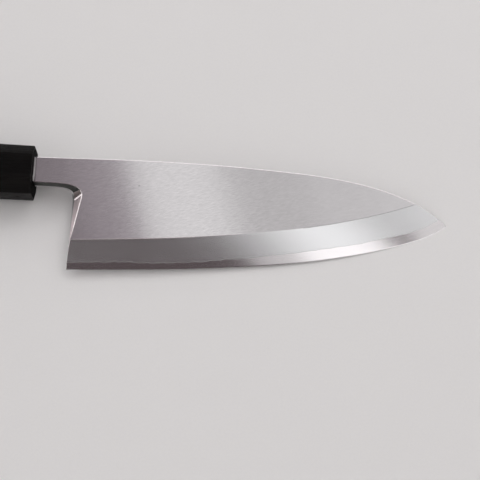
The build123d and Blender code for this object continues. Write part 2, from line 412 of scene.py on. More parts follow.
@dataclass
class BladeForm:
    """Sizes, outline and ground surfaces of the blade, in its own millimetres."""

    # Outline
    blade_length: float = 180.0
    neck_length: float = 18.2
    heel_drop: float = 45.0
    tip_drop: float = 14.1
    spine_crown: float = 8.45
    spine_crown_at: float = 69.0
    neck_rise: float = 7.1
    neck_drop: float = 5.1
    corner_radius: float = 0.9
    machi_gap: float = 0.3

    # Thickness and ground faces
    spine_thickness: float = 7.9
    tip_thickness: float = 3.1
    thinning: float = 0.045
    taper_power: float = 1.8
    bevel_at_heel: float = 13.0
    bevel_at_tip: float = 18.2
    bevel_power: float = 1.35
    edge_land: float = 0.15
    koba_width: float = 0.22
    koba_room_share: float = 0.4
    koba_lean: float = 1.06
    grind_slant: float = 24.0

    # Weld line; its waver adds up waves, each with its swing, radians a millimetre and start
    weld_height: float = 5.0
    weld_line: float = 0.26
    weld_waver: float = 0.1
    waver_start: float = 20.0
    waver_fade: float = 10.0
    waves: Rows = ((1.0, 0.83, 0.0), (0.7, 1.71, 1.1), (0.5, 3.3, 0.4))

    # Widths of the rubbed edges, their share of the room, and how fast they reach full width
    arris: float = 0.42
    wall_arris: float = 0.34
    heel_arris: float = 0.2
    bevel_end_arris: float = 0.16
    tip_arris: float = 0.1
    arris_room_share: float = 0.3
    wall_taper: float = 4.0
    thin_taper: float = 8.0
    arris_map_step: float = 1.5

    # Half width of the rubbed ridge, its share of the room, and X where its finish changes
    ridge_round: float = 0.14
    ridge_room_share: float = 0.2
    ridge_turns: Triple = (76.0, 98.0, 128.0)

    # Leans of the three lines of a rubbed edge: 0 faces the side, 1 faces the front
    arris_leans: Triple = (0.22, 0.5, 0.78)
    bright_leans: Triple = (0.64, 0.72, 0.8)
    neck_leans: Triple = (0.68, 0.82, 0.95)
    heel_leans: Triple = (0.77, 0.86, 0.95)
    crease_lean: float = 0.72

    # Notch on either side: X of its neck end, wall and foot, fullness, and stops of its bend
    notch_back: tuple[float, float, float, float] = (8.0, 18.5, 18.3, 0.8)
    notch_front: tuple[float, float, float, float] = (9.0, 23.1, 19.7, 0.75)
    corner_depth: float = 12.0
    crease_back: Pair = (0.005, 0.055)
    crease_front: Pair = (0.1, 0.168)
    turn_share: float = 0.34
    bend_share: float = 0.5

    # Hollow of the back
    hollow_depth: float = 0.5
    hollow_start: float = 5.5
    hollow_end: float = 15.0
    rim_at_edge: float = 2.6
    rim_at_spine: float = 3.4
    rim_room_share: float = 0.35

    # Curves, as shares of their reach along the blade and of their rise
    edge_shares: Shares = (
        (0, 0), (0.113, 0.032), (0.3, 0.098), (0.488, 0.201), (0.657, 0.34),
        (0.784, 0.5), (0.871, 0.643), (0.957, 0.838), (1, 1),
    )
    spine_back_shares: Shares = ((0, 0), (0.279, 0.34), (0.665, 0.85))
    spine_front_shares: Shares = (
        (0, 0), (0.179, 0.012), (0.358, 0.049), (0.509, 0.1), (0.63, 0.181),
        (0.752, 0.322), (0.875, 0.57), (0.938, 0.753), (1, 1),
    )
    weld_shares: Shares = (
        (-0.1, 0.58), (0, 0.58), (0.06, 0.61), (0.125, 0.64), (0.17, 0.62), (0.22, 0.54),
        (0.29, 0.56), (0.34, 0.56), (0.38, 0.65), (0.43, 0.72), (0.48, 0.73), (0.52, 0.82),
        (0.56, 0.86), (0.61, 0.91), (0.67, 0.99), (0.74, 0.96), (0.79, 0.98), (0.85, 1),
        (0.9, 0.92), (0.94, 0.96), (1.1, 1),
    )
    hollow_shares: Shares = (
        (0, 0), (0.07, 0.62), (0.2, 1), (0.4, 1), (0.6, 1), (0.8, 0.8), (0.92, 0.45), (1, 0),
    )

    def __post_init__(self) -> None:
        """Lay the outline's curves and walk round the rim."""
        self.tip_x = self.neck_length + self.blade_length
        heel = (self.neck_length, -self.heel_drop)
        climb = (self.blade_length, self.heel_drop - self.tip_drop)
        self.edge_y = SmoothCurve(placed(self.edge_shares, heel, climb))
        behind = (self.spine_crown_at - self.machi_gap, self.spine_crown - self.neck_rise)
        ahead = (self.tip_x - self.spine_crown_at, -self.spine_crown - self.tip_drop)
        spine = placed(self.spine_back_shares, (self.machi_gap, self.neck_rise), behind)
        spine += placed(self.spine_front_shares, (self.spine_crown_at, self.spine_crown), ahead)
        self.spine_y = SmoothCurve(spine)
        weld_reach = (self.blade_length, self.weld_height)
        self.weld_rise = SmoothCurve(placed(self.weld_shares, (self.neck_length, 0), weld_reach))
        hollow_reach = (self.blade_length - self.hollow_start - self.hollow_end, self.hollow_depth)
        hollow_start = (self.neck_length + self.hollow_start, 0)
        self.hollow_at = SmoothCurve(placed(self.hollow_shares, hollow_start, hollow_reach))
        self.rim = self._walk_rim()

    def flat_z(self, xy: Array) -> Array:
        """Height of the flat, thinning to the tip and towards the edge.

        Args:
            xy: Points in X and Y.

        Returns:
            A height for each point.
        """
        along = np.clip(xy[..., 0] / self.tip_x, 0, None)
        crown = self.spine_thickness - (self.spine_thickness - self.tip_thickness) * along**self.taper_power
        return crown - self.thinning * (self.spine_crown - xy[..., 1])

    def bevel_run(self, x: Array) -> Array:
        """Distance in Y from the edge up to the ridge."""
        along = np.clip((x - self.neck_length) / self.blade_length, 0, None)
        return self.bevel_at_heel + (self.bevel_at_tip - self.bevel_at_heel) * along**self.bevel_power

    def bevel_slope(self, x: Array) -> Array:
        """Rise of the bevel over its run."""
        ridge = np.stack([x, self.ridge_y(x)], axis=-1)
        return (self.flat_z(ridge) - self.edge_land) / self.bevel_run(x)

    def bevel_z(self, xy: Array) -> Array:
        """Height of the bevel."""
        x = xy[..., 0]
        return self.edge_land + self.bevel_slope(x) * (xy[..., 1] - self.edge_y(x))

    def front_z(self, xy: Array) -> Array:
        """Height of whichever of flat and bevel is lower."""
        return np.minimum(self.flat_z(xy), self.bevel_z(xy))

    def ridge_y(self, x: Array) -> Array:
        """Y of the ridge between flat and bevel."""
        return self.edge_y(x) + self.bevel_run(x)

    def weld_y(self, x: Array) -> Array:
        """Y of the weld line on the bevel, with the slight waver of a forged joint.

        Args:
            x: Places along the blade.

        Returns:
            A Y for each place.
        """
        waver = sum(swing * np.sin(x * turn + start) for swing, turn, start in self.waves)
        grown = np.clip((x - self.waver_start) / self.waver_fade, 0, 1)
        return self.edge_y(x) + self.weld_rise(x) + self.weld_waver * waver * grown

    def weld_z(self, xy: Array) -> Array:
        """Height of the weld under the flat."""
        x = xy[..., 0]
        return self.edge_land + self.bevel_slope(x) * (self.weld_y(x) - self.edge_y(x))

    def depth(self, x: Array) -> Array:
        """Depth of the blade from spine to edge."""
        return self.spine_y(x) - self.edge_y(x)

    def koba(self, x: Array) -> Array:
        """Width of the honed strip at the very edge."""
        return np.minimum(self.koba_width, self.koba_room_share * self.depth(x))

    def low_y(self, x: Array) -> Array:
        """Y where the hollow of the back begins, above the edge."""
        return self.edge_y(x) + np.minimum(self.rim_at_edge, self.rim_room_share * self.depth(x))

    def high_y(self, x: Array) -> Array:
        """Y where the hollow of the back ends, below the spine."""
        return self.spine_y(x) - np.minimum(self.rim_at_spine, self.rim_room_share * self.depth(x))

    def hollow_z(self, xy: Array) -> Array:
        """Height of the hollow above the plane of the back.

        Args:
            xy: Points in X and Y.

        Returns:
            A height for each point, none on the flat rim.
        """
        x = xy[..., 0]
        low, high = self.low_y(x), self.high_y(x)
        across = (2 * xy[..., 1] - low - high) / np.maximum(high - low, FINE_STEP)
        start = self.neck_length + self.hollow_start
        inside = (x > start) & (x < self.tip_x - self.hollow_end)
        return np.where(inside, self.hollow_at(x) * np.clip(1 - across**2, 0, 1), 0.0)

    def crossing(self, line: Height) -> float:
        """X ahead of the crown where a line on the bevel meets the spine."""
        x = np.linspace(self.spine_crown_at, self.tip_x - FINE_STEP, CURVE_SAMPLES)
        return float(x[np.argmax(self.spine_y(x) < line(x))])

    def _notch_corner(self, side: Sequence[float]) -> list[Array]:
        """Control points of the notch's bend, then its foot.

        Args:
            side: Start on the neck, wall, foot and fullness on one side of the blade.

        Returns:
            Wall end, two pulls and neck end of the bend, and the foot of the wall.
        """
        start, wall, foot_x, fullness = side
        on_neck = np.array((start, -self.neck_drop))
        on_wall = np.array((wall, -self.corner_depth))
        foot = np.array((foot_x, self.bevel_at_heel - self.heel_drop))
        climb = (self.corner_depth - self.neck_drop) / (on_wall[1] - foot[1])
        corner = on_wall + (on_wall - foot) * climb
        first = on_wall + (corner - on_wall) * fullness
        second = on_neck + (corner - on_neck) * fullness
        return [on_wall, first, second, on_neck, foot]

    def _notch_runs(self, side: Sequence[float], crease: Sequence[float]) -> dict[str, Array]:
        """Stretches of the rim from the heel over the notch and along the neck, on one side.

        Args:
            side: Start on the neck, wall, foot and fullness on that side of the blade.
            crease: Shares of the bend where its crease starts and ends.

        Returns:
            Points of each stretch by the mark at its end.
        """
        heel = np.array((self.neck_length, -self.heel_drop))
        neck_end = np.array((self.machi_gap, -self.neck_drop))
        weld_share = float(self.weld_rise(self.neck_length)) / self.bevel_at_heel
        koba_share = self.koba_width / self.bevel_at_heel
        on_wall, first, second, on_neck, foot = self._notch_corner(side)
        koba = heel + (foot - heel) * koba_share
        weld = heel + (foot - heel) * weld_share
        runs = {"heel": heel[None], "koba": koba[None]}
        before = koba
        for name, stop in (("weld", weld), ("foot", foot), ("straight", on_wall)):
            runs[name] = stretch(before, stop, RIM_STEPS[name])[1:]
            before = stop
        marks = ("crease", "wall", "turn", "bend", "neck")
        before = 0
        for name, stop in zip(marks, (*crease, self.turn_share, self.bend_share, 1)):
            shares = np.linspace(before, stop, RIM_STEPS[name] + 1)[1:]
            runs[name] = pulled_bend((on_wall, first, second, on_neck), shares)
            before = stop
        runs["under"] = stretch(on_neck, neck_end, RIM_STEPS["under"])[1:]
        return runs

    def _spine_runs(self) -> dict[str, Array]:
        """Stretches of the rim up the neck's end and along the spine to the tip.

        Returns:
            Points of each stretch by the mark at its end.
        """
        centre_x = self.machi_gap + self.corner_radius
        centre = np.array((centre_x, float(self.spine_y(centre_x)) - self.corner_radius))
        halfway = RIM_STEPS["corner"] + 1
        angles = np.radians(np.linspace(180, 90, halfway + RIM_STEPS["arc"]))
        arc = centre + self.corner_radius * np.stack([np.cos(angles), np.sin(angles)], axis=-1)
        end = stretch((self.machi_gap, -self.neck_drop), arc[0], RIM_STEPS["end"])[1:]
        runs = {"end": end, "corner": arc[1:halfway], "arc": arc[halfway:]}
        stops = {
            "shoulder": self.neck_length,
            "ridge_end": self.crossing(self.ridge_y),
            "weld_end": self.crossing(self.weld_y),
            "tip": self.tip_x,
        }
        before = centre_x
        for name, stop in stops.items():
            x = np.linspace(before, stop, RIM_STEPS[name] + 1)[1:]
            runs[name] = np.stack([x, self.spine_y(x)], axis=-1)
            before = stop
        runs["tip"][-1] = (self.tip_x, float(self.edge_y(self.tip_x)))
        return runs

    def _walk_rim(self) -> Rim:
        """Gather the rim's points on the back and on the front, and the marks along it.

        Returns:
            The rim.
        """
        spine = self._spine_runs()
        back_runs = self._notch_runs(self.notch_back, self.crease_back) | spine
        front_runs = self._notch_runs(self.notch_front, self.crease_front) | spine
        marks, count = {}, 0
        for name, run in back_runs.items():
            count += len(run)
            marks[name] = count - 1
        rise = float(self.flat_z(np.array((self.notch_front[1], -self.corner_depth))))
        back, front = (np.concatenate(list(runs.values())) for runs in (back_runs, front_runs))
        return Rim(back, front, marks, rise)


@dataclass
class Tang:
    """Tapering tang that springs from the neck's end."""

    root: Pair = (10.4, 6.1)
    end: Pair = (5.0, 3.0)
    root_x: float = 0.3
    end_x: float = -98.0
    root_y: float = 1.0
    end_y: float = 0.5
    axis_z: float = 3.95
    sink: float = 0.8
    loops: int = 9

    def _loop(self, share: float, counts: Sequence[int]) -> list[Array]:
        """Outline of the tang's section, part of the way from root to end.

        Args:
            share: Share of the way.
            counts: Number of points on each side.

        Returns:
            Its four sides, in order round the section.
        """
        high, thick = (a + (b - a) * share for a, b in zip(self.root, self.end))
        x = self.root_x + (self.end_x - self.root_x) * share
        y = self.root_y + (self.end_y - self.root_y) * share
        low_z = self.axis_z - thick / 2 + self.sink * (1 - share)
        corners = [
            (x, y - high / 2, low_z),
            (x, y + high / 2, low_z),
            (x, y + high / 2, self.axis_z + thick / 2),
            (x, y - high / 2, self.axis_z + thick / 2),
        ]
        return [stretch(corners[i], corners[(i + 1) % 4], count - 1) for i, count in enumerate(counts)]

    def add_to(self, shell: Shell, outer: list[Array], finish: str) -> None:
        """Add the neck's end face, the tang's sides and its end.

        Args:
            shell: Shell of the soft iron.
            outer: Four sides of the end face.
            finish: Name of the forged finish.
        """
        counts = [len(side) for side in outer]
        loops = [self._loop(share, counts) for share in np.linspace(0, 1, self.loops)]
        for i, (side, outward) in enumerate(zip(outer, (-UP, ASIDE, UP, -ASIDE))):
            shell.add(np.stack([side, loops[0][i]]), -AHEAD, finish)
            shell.add(np.stack([loop[i] for loop in loops]), outward, finish)
        low, right, high, left = loops[-1]
        shell.add(coons(low, high[::-1], left[::-1], right), -AHEAD, finish)


@dataclass
class Blade:
    """The two forged layers of the blade, with the tang."""

    form: BladeForm
    tang: Tang
    iron_finishes: tuple[str, ...] = (
        "iron_flat", "iron_bevel", "rubbed", "forged",
        "notch_wall_painted_reflection", "arris_painted_highlight", "notch_turn_painted_dark_reflection", "neck_under_painted_shade", "weld_line", "ridge_painted_dark_reflection",
    )
    steel_finishes: tuple[str, ...] = ("steel_band", "honed", "steel_back", "forged")
    # Stretches of the ridge from heel to tip: painted highlight, rubbed, plain flat, painted dark reflection
    ridge_finishes: tuple[str, ...] = ("arris_painted_highlight", "rubbed", "iron_flat", "ridge_painted_dark_reflection")
    settling_rounds: int = 30
    iron_rows: int = 4
    steel_rows: int = 2
    spine_rim_rows: int = 2

    def __post_init__(self) -> None:
        """Work out every line that the two layers share."""
        form, rim, marks = self.form, self.form.rim, self.form.rim.marks
        top = np.zeros(len(rim.back))
        for _ in range(self.settling_rounds):
            top = form.front_z(rim.at(top))
        top[0] = top[-1] = 0.0
        self.top = top
        self.seam = np.minimum(form.weld_z(rim.at(top)), top)
        self.seam[: marks["weld"] + 1] = top[: marks["weld"] + 1]
        self.seam[marks["weld_end"] :] = top[marks["weld_end"] :]
        self.edge_rim = rim.at(top)
        self.arris = self._arris_widths()
        self.inner = self.edge_rim + self._inward() * self.arris[:, None]

    def _arris_widths(self) -> Array:
        """Widths of the rubbed arris round the rim: thin beside the bevel, full on the spine.

        Returns:
            A width for each rim point.
        """
        form, part = self.form, self.form.rim.part
        width = np.zeros(len(self.top))
        wall, neck, spine = part("foot", "wall"), part("wall", "under"), part("under", "ridge_end")
        rise = np.linspace(0, 1, wall.stop - wall.start)
        width[wall] = form.wall_arris * np.minimum(1, form.wall_taper * rise)
        width[neck] = np.linspace(form.wall_arris, form.arris, neck.stop - neck.start)
        x = self.edge_rim[spine, 0]
        room = np.where(x > form.spine_crown_at, self.edge_rim[spine, 1] - form.ridge_y(x), form.blade_length)
        width[spine] = np.minimum(form.arris, form.arris_room_share * np.maximum(room, 0))
        thin = (
            ("koba", "weld", form.heel_arris),
            ("weld", "foot", form.heel_arris),
            ("ridge_end", "weld_end", form.bevel_end_arris),
            ("weld_end", "tip", form.tip_arris),
        )
        for start, end, most in thin:
            place = part(start, end)
            share = np.linspace(0, 1, place.stop - place.start)
            width[place] = most * np.clip(form.thin_taper * np.minimum(share, 1 - share), 0, 1)
        return width

    def _inward(self) -> Array:
        """Direction from each rim point into the blade, lengthened at corners like a mitre.

        Returns:
            A vector in X and Y for each rim point.
        """
        step = unit(np.diff(self.edge_rim, axis=0))
        left = np.stack([step[:, 1], -step[:, 0]], axis=-1)
        before = np.concatenate([left[:1], left])
        after = np.concatenate([left, left[-1:]])
        middle = unit(before + after)
        return middle / np.sum(middle * after, axis=-1, keepdims=True)

    def _columns_to(self, line: Height, start: Array, last: str) -> Array:
        """Points of a line along the blade, one for each column of the grids.

        Args:
            line: Y of the line at each X.
            start: Its first point, on the rim.
            last: Mark of the rim point where it ends.

        Returns:
            The points in X and Y.
        """
        rim, marks = self.form.rim, self.form.rim.marks
        stops = ["ridge_end", "weld_end", "tip"]
        xs = [np.array([start[0]])]
        before = start[0]
        for stop in stops[: stops.index(last) + 1]:
            x = rim.back[marks[stop], 0]
            xs.append(np.linspace(before, x, RIM_STEPS[stop] + 1)[1:])
            before = x
        x = np.concatenate(xs)
        points = np.stack([x, line(x)], axis=-1)
        points[0] = start
        points[-1] = rim.back[marks[last]]
        return points

    def _divide(self, rim_points: Array) -> Array:
        """Line from the notch's bend up to the spine, which parts neck from body."""
        ends = (rim_points[self.form.rim.marks[mark]] for mark in ("bend", "shoulder"))
        return stretch(*ends, RIM_STEPS["end"] + RIM_STEPS["corner"])

    def _neck_grid(self, rim_points: Array) -> Array:
        """Grid over the neck.

        Args:
            rim_points: Points of the whole rim on this surface.

        Returns:
            Array of rows, columns and coordinates.
        """
        part = self.form.rim.part
        bottom = rim_points[part("bend", "under")][::-1]
        top = rim_points[part("corner", "shoulder")]
        left = rim_points[part("under", "corner")]
        return coons(bottom, top, left, self._divide(rim_points))

    def _body_grid(self, rim_points: Array, bottom: Array, start: str, end: str) -> Array:
        """Grid over the blade ahead of the neck between given rim points.

        Args:
            rim_points: Points of the whole rim on this surface.
            bottom: Points of the grid's lower line.
            start: Mark where the grid's left side begins.
            end: Mark on the spine where it ends.

        Returns:
            Array of rows, columns and coordinates.
        """
        part = self.form.rim.part
        left = np.concatenate([rim_points[part(start, "bend")], self._divide(rim_points)[1:]])
        return narrowing(bottom, rim_points[part("shoulder", end)], left)

    def _lay(self, shell: Shell, flat: Array, height: Height, finish: str, grind: Grind) -> None:
        """Add one ground surface of the bevelled side to a shell, from its grid in X and Y."""
        shell.add(lifted(flat, height), facing_up(flat, height), finish, self.grind_map(flat, grind))

    def grind_map(self, flat: Array, grind: Grind) -> Array:
        """Coordinates whose first axis runs along the grinding lines.

        Args:
            flat: Points in X and Y.
            grind: Way that the lines run.

        Returns:
            Two coordinates in millimetres for each point.
        """
        x, y = flat[..., 0], flat[..., 1]
        if grind is Grind.ACROSS:
            return np.stack([y, x], axis=-1)
        if grind is Grind.ALONG:
            return np.stack([x, y - self.form.edge_y(x)], axis=-1)
        slant = math.radians(self.form.grind_slant)
        along = x * math.cos(slant) + y * math.sin(slant)
        return np.stack([along, y * math.cos(slant) - x * math.sin(slant)], axis=-1)

    def _wall(
        self, shell: Shell, heights: Sequence[Array], part: slice, rows: int, finish: str, lean: float = 0.0
    ) -> None:
        """Add a stretch of the rim's side between two heights.

        Args:
            shell: Shell that takes it.
            heights: Lower and upper height at each rim point.
            part: Stretch of the rim.
            rows: Number of quads from low to high.
            finish: Name of its finish.
            lean: Share by which it is rubbed over to face upwards.
        """
        low, high = heights
        share = np.linspace(0, 1, rows + 1)
        grid = np.stack([self.form.rim.raised(low + (high - low) * s)[part] for s in share])
        normals = blend(self._side_facing(part), UP, lean)
        along = np.broadcast_to(walked(grid[0]), grid.shape[:2])
        shell.add(grid, normals, finish, np.stack([along, grid[..., 2]], axis=-1))

    def _side_facing(self, part: slice) -> Array:
        """Outward normals of the rim's side.

        Args:
            part: Stretch of the rim.

        Returns:
            A normal for each of its points.
        """
        rim = self.form.rim
        low, high = (rim.raised(level)[part] for level in (0.0, self.form.spine_thickness))
        along = np.gradient((low + high) / 2, axis=0)
        return unit(np.cross(high - low, along))

    def _arris_strip(self, shell: Shell, part: slice, finish: str, leans: Sequence[float]) -> None:
        """Add the rounded arris between side and front over a stretch of the rim.

        Args:
            shell: Shell that takes it.
            part: Stretch of the rim.
            finish: Name of its finish.
            leans: Shares by which its three lines face the front.
        """
        form, rim = self.form, self.form.rim
        outer = rim.raised(self.top - self.arris)[part]
        sharp = rim.raised(self.top)[part]
        inner = np.where(self.arris[part, None] > 0, lifted(self.inner, form.front_z)[part], sharp)
        side = self._side_facing(part)
        front = facing_up(self.inner[part], form.front_z)
        normals = np.stack([blend(side, front, lean) for lean in leans])
        grid = np.stack([outer, rubbed_middle(outer, sharp, inner), inner])
        along = np.broadcast_to(np.arange(len(sharp)) * form.arris_map_step, grid.shape[:2])
        shell.add(grid, normals, finish, np.stack([along, grid[..., 2]], axis=-1))

    def build_iron(self, materials: Materials) -> bpy.types.Object:
        """Soft-iron body: flat, upper bevel, spine, notch and tang.

        Args:
            materials: Materials by finish name.

        Returns:
            The finished piece.
        """
        form, rim = self.form, self.form.rim
        shell = Shell("soft_iron_body", self.iron_finishes)
        weld = self._columns_to(form.weld_y, self.edge_rim[rim.marks["weld"]], "weld_end")
        self._upper_bevel(shell, self._flat_and_ridge(shell), weld)
        side_top = self.top - self.arris
        walls = (
            # Painted reflection: the notch's wall takes a bright pink copy of the iron
            ("weld", "crease", "notch_wall_painted_reflection", 0.0),
            # Painted highlight: the crease at the top of the notch's wall takes the near-white arris colour
            ("crease", "wall", "arris_painted_highlight", form.crease_lean),
            # Painted dark reflection: the notch's bend takes a darker pink copy of the iron
            ("wall", "turn", "notch_turn_painted_dark_reflection", 0.0),
            # Painted shade: the neck's underside takes a near-black copy of the iron
            ("turn", "under", "neck_under_painted_shade", 0.0),
            ("end", "weld_end", "rubbed", 0.0),
        )
        for start, end, finish, lean in walls:
            self._wall(shell, (self.seam, side_top), rim.part(start, end), self.iron_rows, finish, lean)
        arrises = (
            ("weld", "foot", "rubbed", form.heel_leans),
            # Painted highlight: the arris round the notch's wall is coloured brighter than the iron
            ("foot", "wall", "arris_painted_highlight", form.bright_leans),
            ("wall", "under", "rubbed", form.neck_leans),
            ("under", "end", "rubbed", form.arris_leans),
            ("end", "ridge_end", "rubbed", form.bright_leans),
            ("ridge_end", "weld_end", "rubbed", form.bright_leans),
        )
        for start, end, finish, leans in arrises:
            self._arris_strip(shell, rim.part(start, end), finish, leans)
        self._seam_surface(shell, weld, up=False)
        self.tang.add_to(shell, self._neck_end_loop(side_top), "forged")
        return shell.build(materials)

    def _flat_and_ridge(self, shell: Shell) -> Array:
        """Add the flat of neck and blade, and the rubbed ridge, with a painted highlight near the heel and a
        painted dark reflection towards the tip.

        Args:
            shell: Shell of the soft iron.

        Returns:
            Points in X and Y of the ridge's lower side, where the bevel begins.
        """
        form = self.form
        self._lay(shell, self._neck_grid(self.inner), form.flat_z, "iron_flat", Grind.SLANTED)
        ridge = self._columns_to(form.ridge_y, self.edge_rim[form.rim.marks["foot"]], "ridge_end")
        room = np.maximum(form.spine_y(ridge[:, 0]) - ridge[:, 1], 0)
        half = np.minimum(form.ridge_round, form.ridge_room_share * room)
        half[0] = half[-1] = 0
        shift = np.stack([np.zeros(len(half)), half], axis=-1)
        above, below = ridge + shift, ridge - shift
        body = self._body_grid(self.inner, above, "foot", "ridge_end")
        facing = facing_up(body, form.flat_z)
        shell.add(lifted(body, form.front_z), facing, "iron_flat", self.grind_map(body, Grind.SLANTED))
        high, sharp, low = (lifted(line, form.front_z) for line in (above, ridge, below))
        flat_facing, bevel_facing = facing_up(above, form.flat_z), facing_up(below, form.bevel_z)
        strip = np.stack([low, rubbed_middle(low, sharp, high), high])
        turning = np.stack([bevel_facing, blend(bevel_facing, flat_facing, 0.5), flat_facing])
        turns = [0, *np.searchsorted(ridge[:, 0], form.ridge_turns), len(ridge) - 1]
        for start, end, finish in zip(turns, turns[1:], self.ridge_finishes):
            part = strip[:, start : end + 1]
            shell.add(part, turning[:, start : end + 1], finish, self.grind_map(part[..., :2], Grind.ALONG))
        return below

    def _upper_bevel(self, shell: Shell, below: Array, weld: Array) -> None:
        """Add the iron's part of the bevel and the bright line above the weld.

        Args:
            shell: Shell of the soft iron.
            below: Points of the ridge's lower side.
            weld: Points of the weld line.
        """
        form, part = self.form, self.form.rim.part
        upper = np.concatenate([below, self.inner[part("ridge_end", "weld_end")][1:]])
        rise = np.full(len(weld), form.weld_line)
        rise[0] = rise[-1] = 0
        above_weld = weld + np.stack([0 * rise, rise], axis=-1)
        self._lay(shell, np.stack([weld, above_weld]), form.bevel_z, "weld_line", Grind.ALONG)
        bevel = narrowing(above_weld, upper, self.inner[part("weld", "foot")])
        self._lay(shell, bevel, form.bevel_z, "iron_bevel", Grind.ALONG)

    def _neck_end_loop(self, side_top: Array) -> list[Array]:
        """Outline of the iron's end face, where the tang springs from it.

        Args:
            side_top: Height of the side's upper line at each rim point.

        Returns:
            Its four sides, in order round the face.
        """
        rim, part = self.form.rim, self.form.rim.part("under", "end")
        low, high = rim.raised(self.seam)[part], rim.raised(side_top)[part]
        right = stretch(low[-1], high[-1], self.iron_rows)
        left = stretch(high[0], low[0], self.iron_rows)
        return [low, right, high[::-1], left]

    def _seam_surface(self, shell: Shell, weld: Array, up: bool) -> None:
        """Add the hidden weld surface between iron and steel.

        Args:
            shell: Shell of either layer.
            weld: Points of the weld line.
            up: Whether the surface faces the bevelled side.
        """
        rim_points = self.form.rim.at(self.seam)
        known = {tuple(np.round(xy, TINY_DIGITS)): z for xy, z in zip(rim_points, self.seam)}

        def height(flat: Array) -> Array:
            """Height of the weld surface, with the rim's own heights along its border.

            Args:
                flat: Grid of points in X and Y.

            Returns:
                A height for each point.
            """
            surface = self.form.weld_z(flat)
            for border in (np.s_[0], np.s_[-1], np.s_[:, 0], np.s_[:, -1]):
                pairs = zip(flat[border], surface[border])
                surface[border] = [known.get(tuple(np.round(xy, TINY_DIGITS)), z) for xy, z in pairs]
            return surface

        for grid in (self._neck_grid(rim_points), self._body_grid(rim_points, weld, "weld", "weld_end")):
            shell.add(lifted(grid, height), UP if up else -UP, "forged")

    def build_steel(self, materials: Materials) -> bpy.types.Object:
        """Hard steel layer: cutting edge, honed strip and hollow-ground back.

        Args:
            materials: Materials by finish name.

        Returns:
            The finished piece.
        """
        form, rim = self.form, self.form.rim
        shell = Shell("hard_steel_layer", self.steel_finishes)
        edge = self._columns_to(form.edge_y, self.edge_rim[rim.marks["heel"]], "tip")
        weld = self._columns_to(form.weld_y, self.edge_rim[rim.marks["weld"]], "weld_end")
        self._band_and_koba(shell, edge, weld)
        seam_top = self.seam.copy()
        for start, end, leans in (("koba", "weld", form.heel_leans), ("weld_end", "tip", form.bright_leans)):
            part = rim.part(start, end)
            seam_top[part] -= self.arris[part]
            self._arris_strip(shell, part, "honed", leans)
        floor = np.zeros(len(rim.back))
        sides = (("heel", "under", "steel_back"), ("under", "end", "forged"), ("end", "tip", "steel_back"))
        for start, end, finish in sides:
            self._wall(shell, (floor, seam_top), rim.part(start, end), self.steel_rows, finish)
        self._seam_surface(shell, weld, up=True)
        self._back_surface(shell, edge)
        return shell.build(materials)

    def _band_and_koba(self, shell: Shell, edge: Array, weld: Array) -> None:
        """Add the steel's band of the bevel and the honed strip at the very edge.

        Args:
            shell: Shell of the hard steel.
            edge: Points of the cutting edge.
            weld: Points of the weld line.
        """
        form, rim = self.form, self.form.rim
        koba_start = self.edge_rim[rim.marks["koba"]]
        honed = self._columns_to(lambda x: form.edge_y(x) + form.koba(x), koba_start, "tip")
        upper = np.concatenate([weld, self.inner[rim.part("weld_end", "tip")][1:]])
        band = narrowing(honed, upper, self.inner[rim.part("koba", "weld")])

        def band_z(flat: Array) -> Array:
            """Height of the bevel, brought down to the back's plane at the tip."""
            return np.where(flat[..., 0] >= form.tip_x - TINY, 0.0, form.bevel_z(flat))

        normals = facing_up(np.minimum(band, (form.tip_x - 2 * FINE_STEP, np.inf)), form.bevel_z)
        shell.add(lifted(band, band_z), normals, "steel_band", self.grind_map(band, Grind.ALONG))
        strip = np.stack([lifted(edge, back_plane), lifted(honed, band_z)])
        fall = -form.bevel_slope(edge[:, 0]) * form.koba_lean
        lean = unit(np.stack([0 * fall, fall, np.ones(len(edge))], axis=-1))
        shell.add(strip, lean, "honed", self.grind_map(strip[..., :2], Grind.ALONG))

    def _back_surface(self, shell: Shell, edge: Array) -> None:
        """Add the flat rim and the hollow of the back.

        Args:
            shell: Shell of the hard steel.
            edge: Points of the cutting edge.
        """
        form, rim = self.form, self.form.rim
        points = rim.back
        shell.add(lifted(self._neck_grid(points), back_plane), -UP, "honed")
        left = np.concatenate([points[rim.part("heel", "bend")], self._divide(points)[1:]])
        turn_low, turn_high = rim.marks["weld"], len(left) - 1 - self.spine_rim_rows
        low = self._columns_to(form.low_y, left[turn_low], "tip")
        high = self._columns_to(form.high_y, left[turn_high], "tip")
        spine = points[rim.part("shoulder", "tip")]
        for lines in ((edge, low, left[: turn_low + 1]), (high, spine, left[turn_high:])):
            grid = narrowing(*lines)
            shell.add(lifted(grid, back_plane), -UP, "honed", self.grind_map(grid, Grind.ALONG))
        grid = narrowing(low, high, left[turn_low : turn_high + 1])
        heights = form.hollow_z(grid)
        heights[0] = heights[-1] = 0
        raised = np.concatenate([grid, heights[..., None]], axis=-1)
        shell.add(raised, -facing_up(grid, form.hollow_z), "steel_back", self.grind_map(grid, Grind.ACROSS))


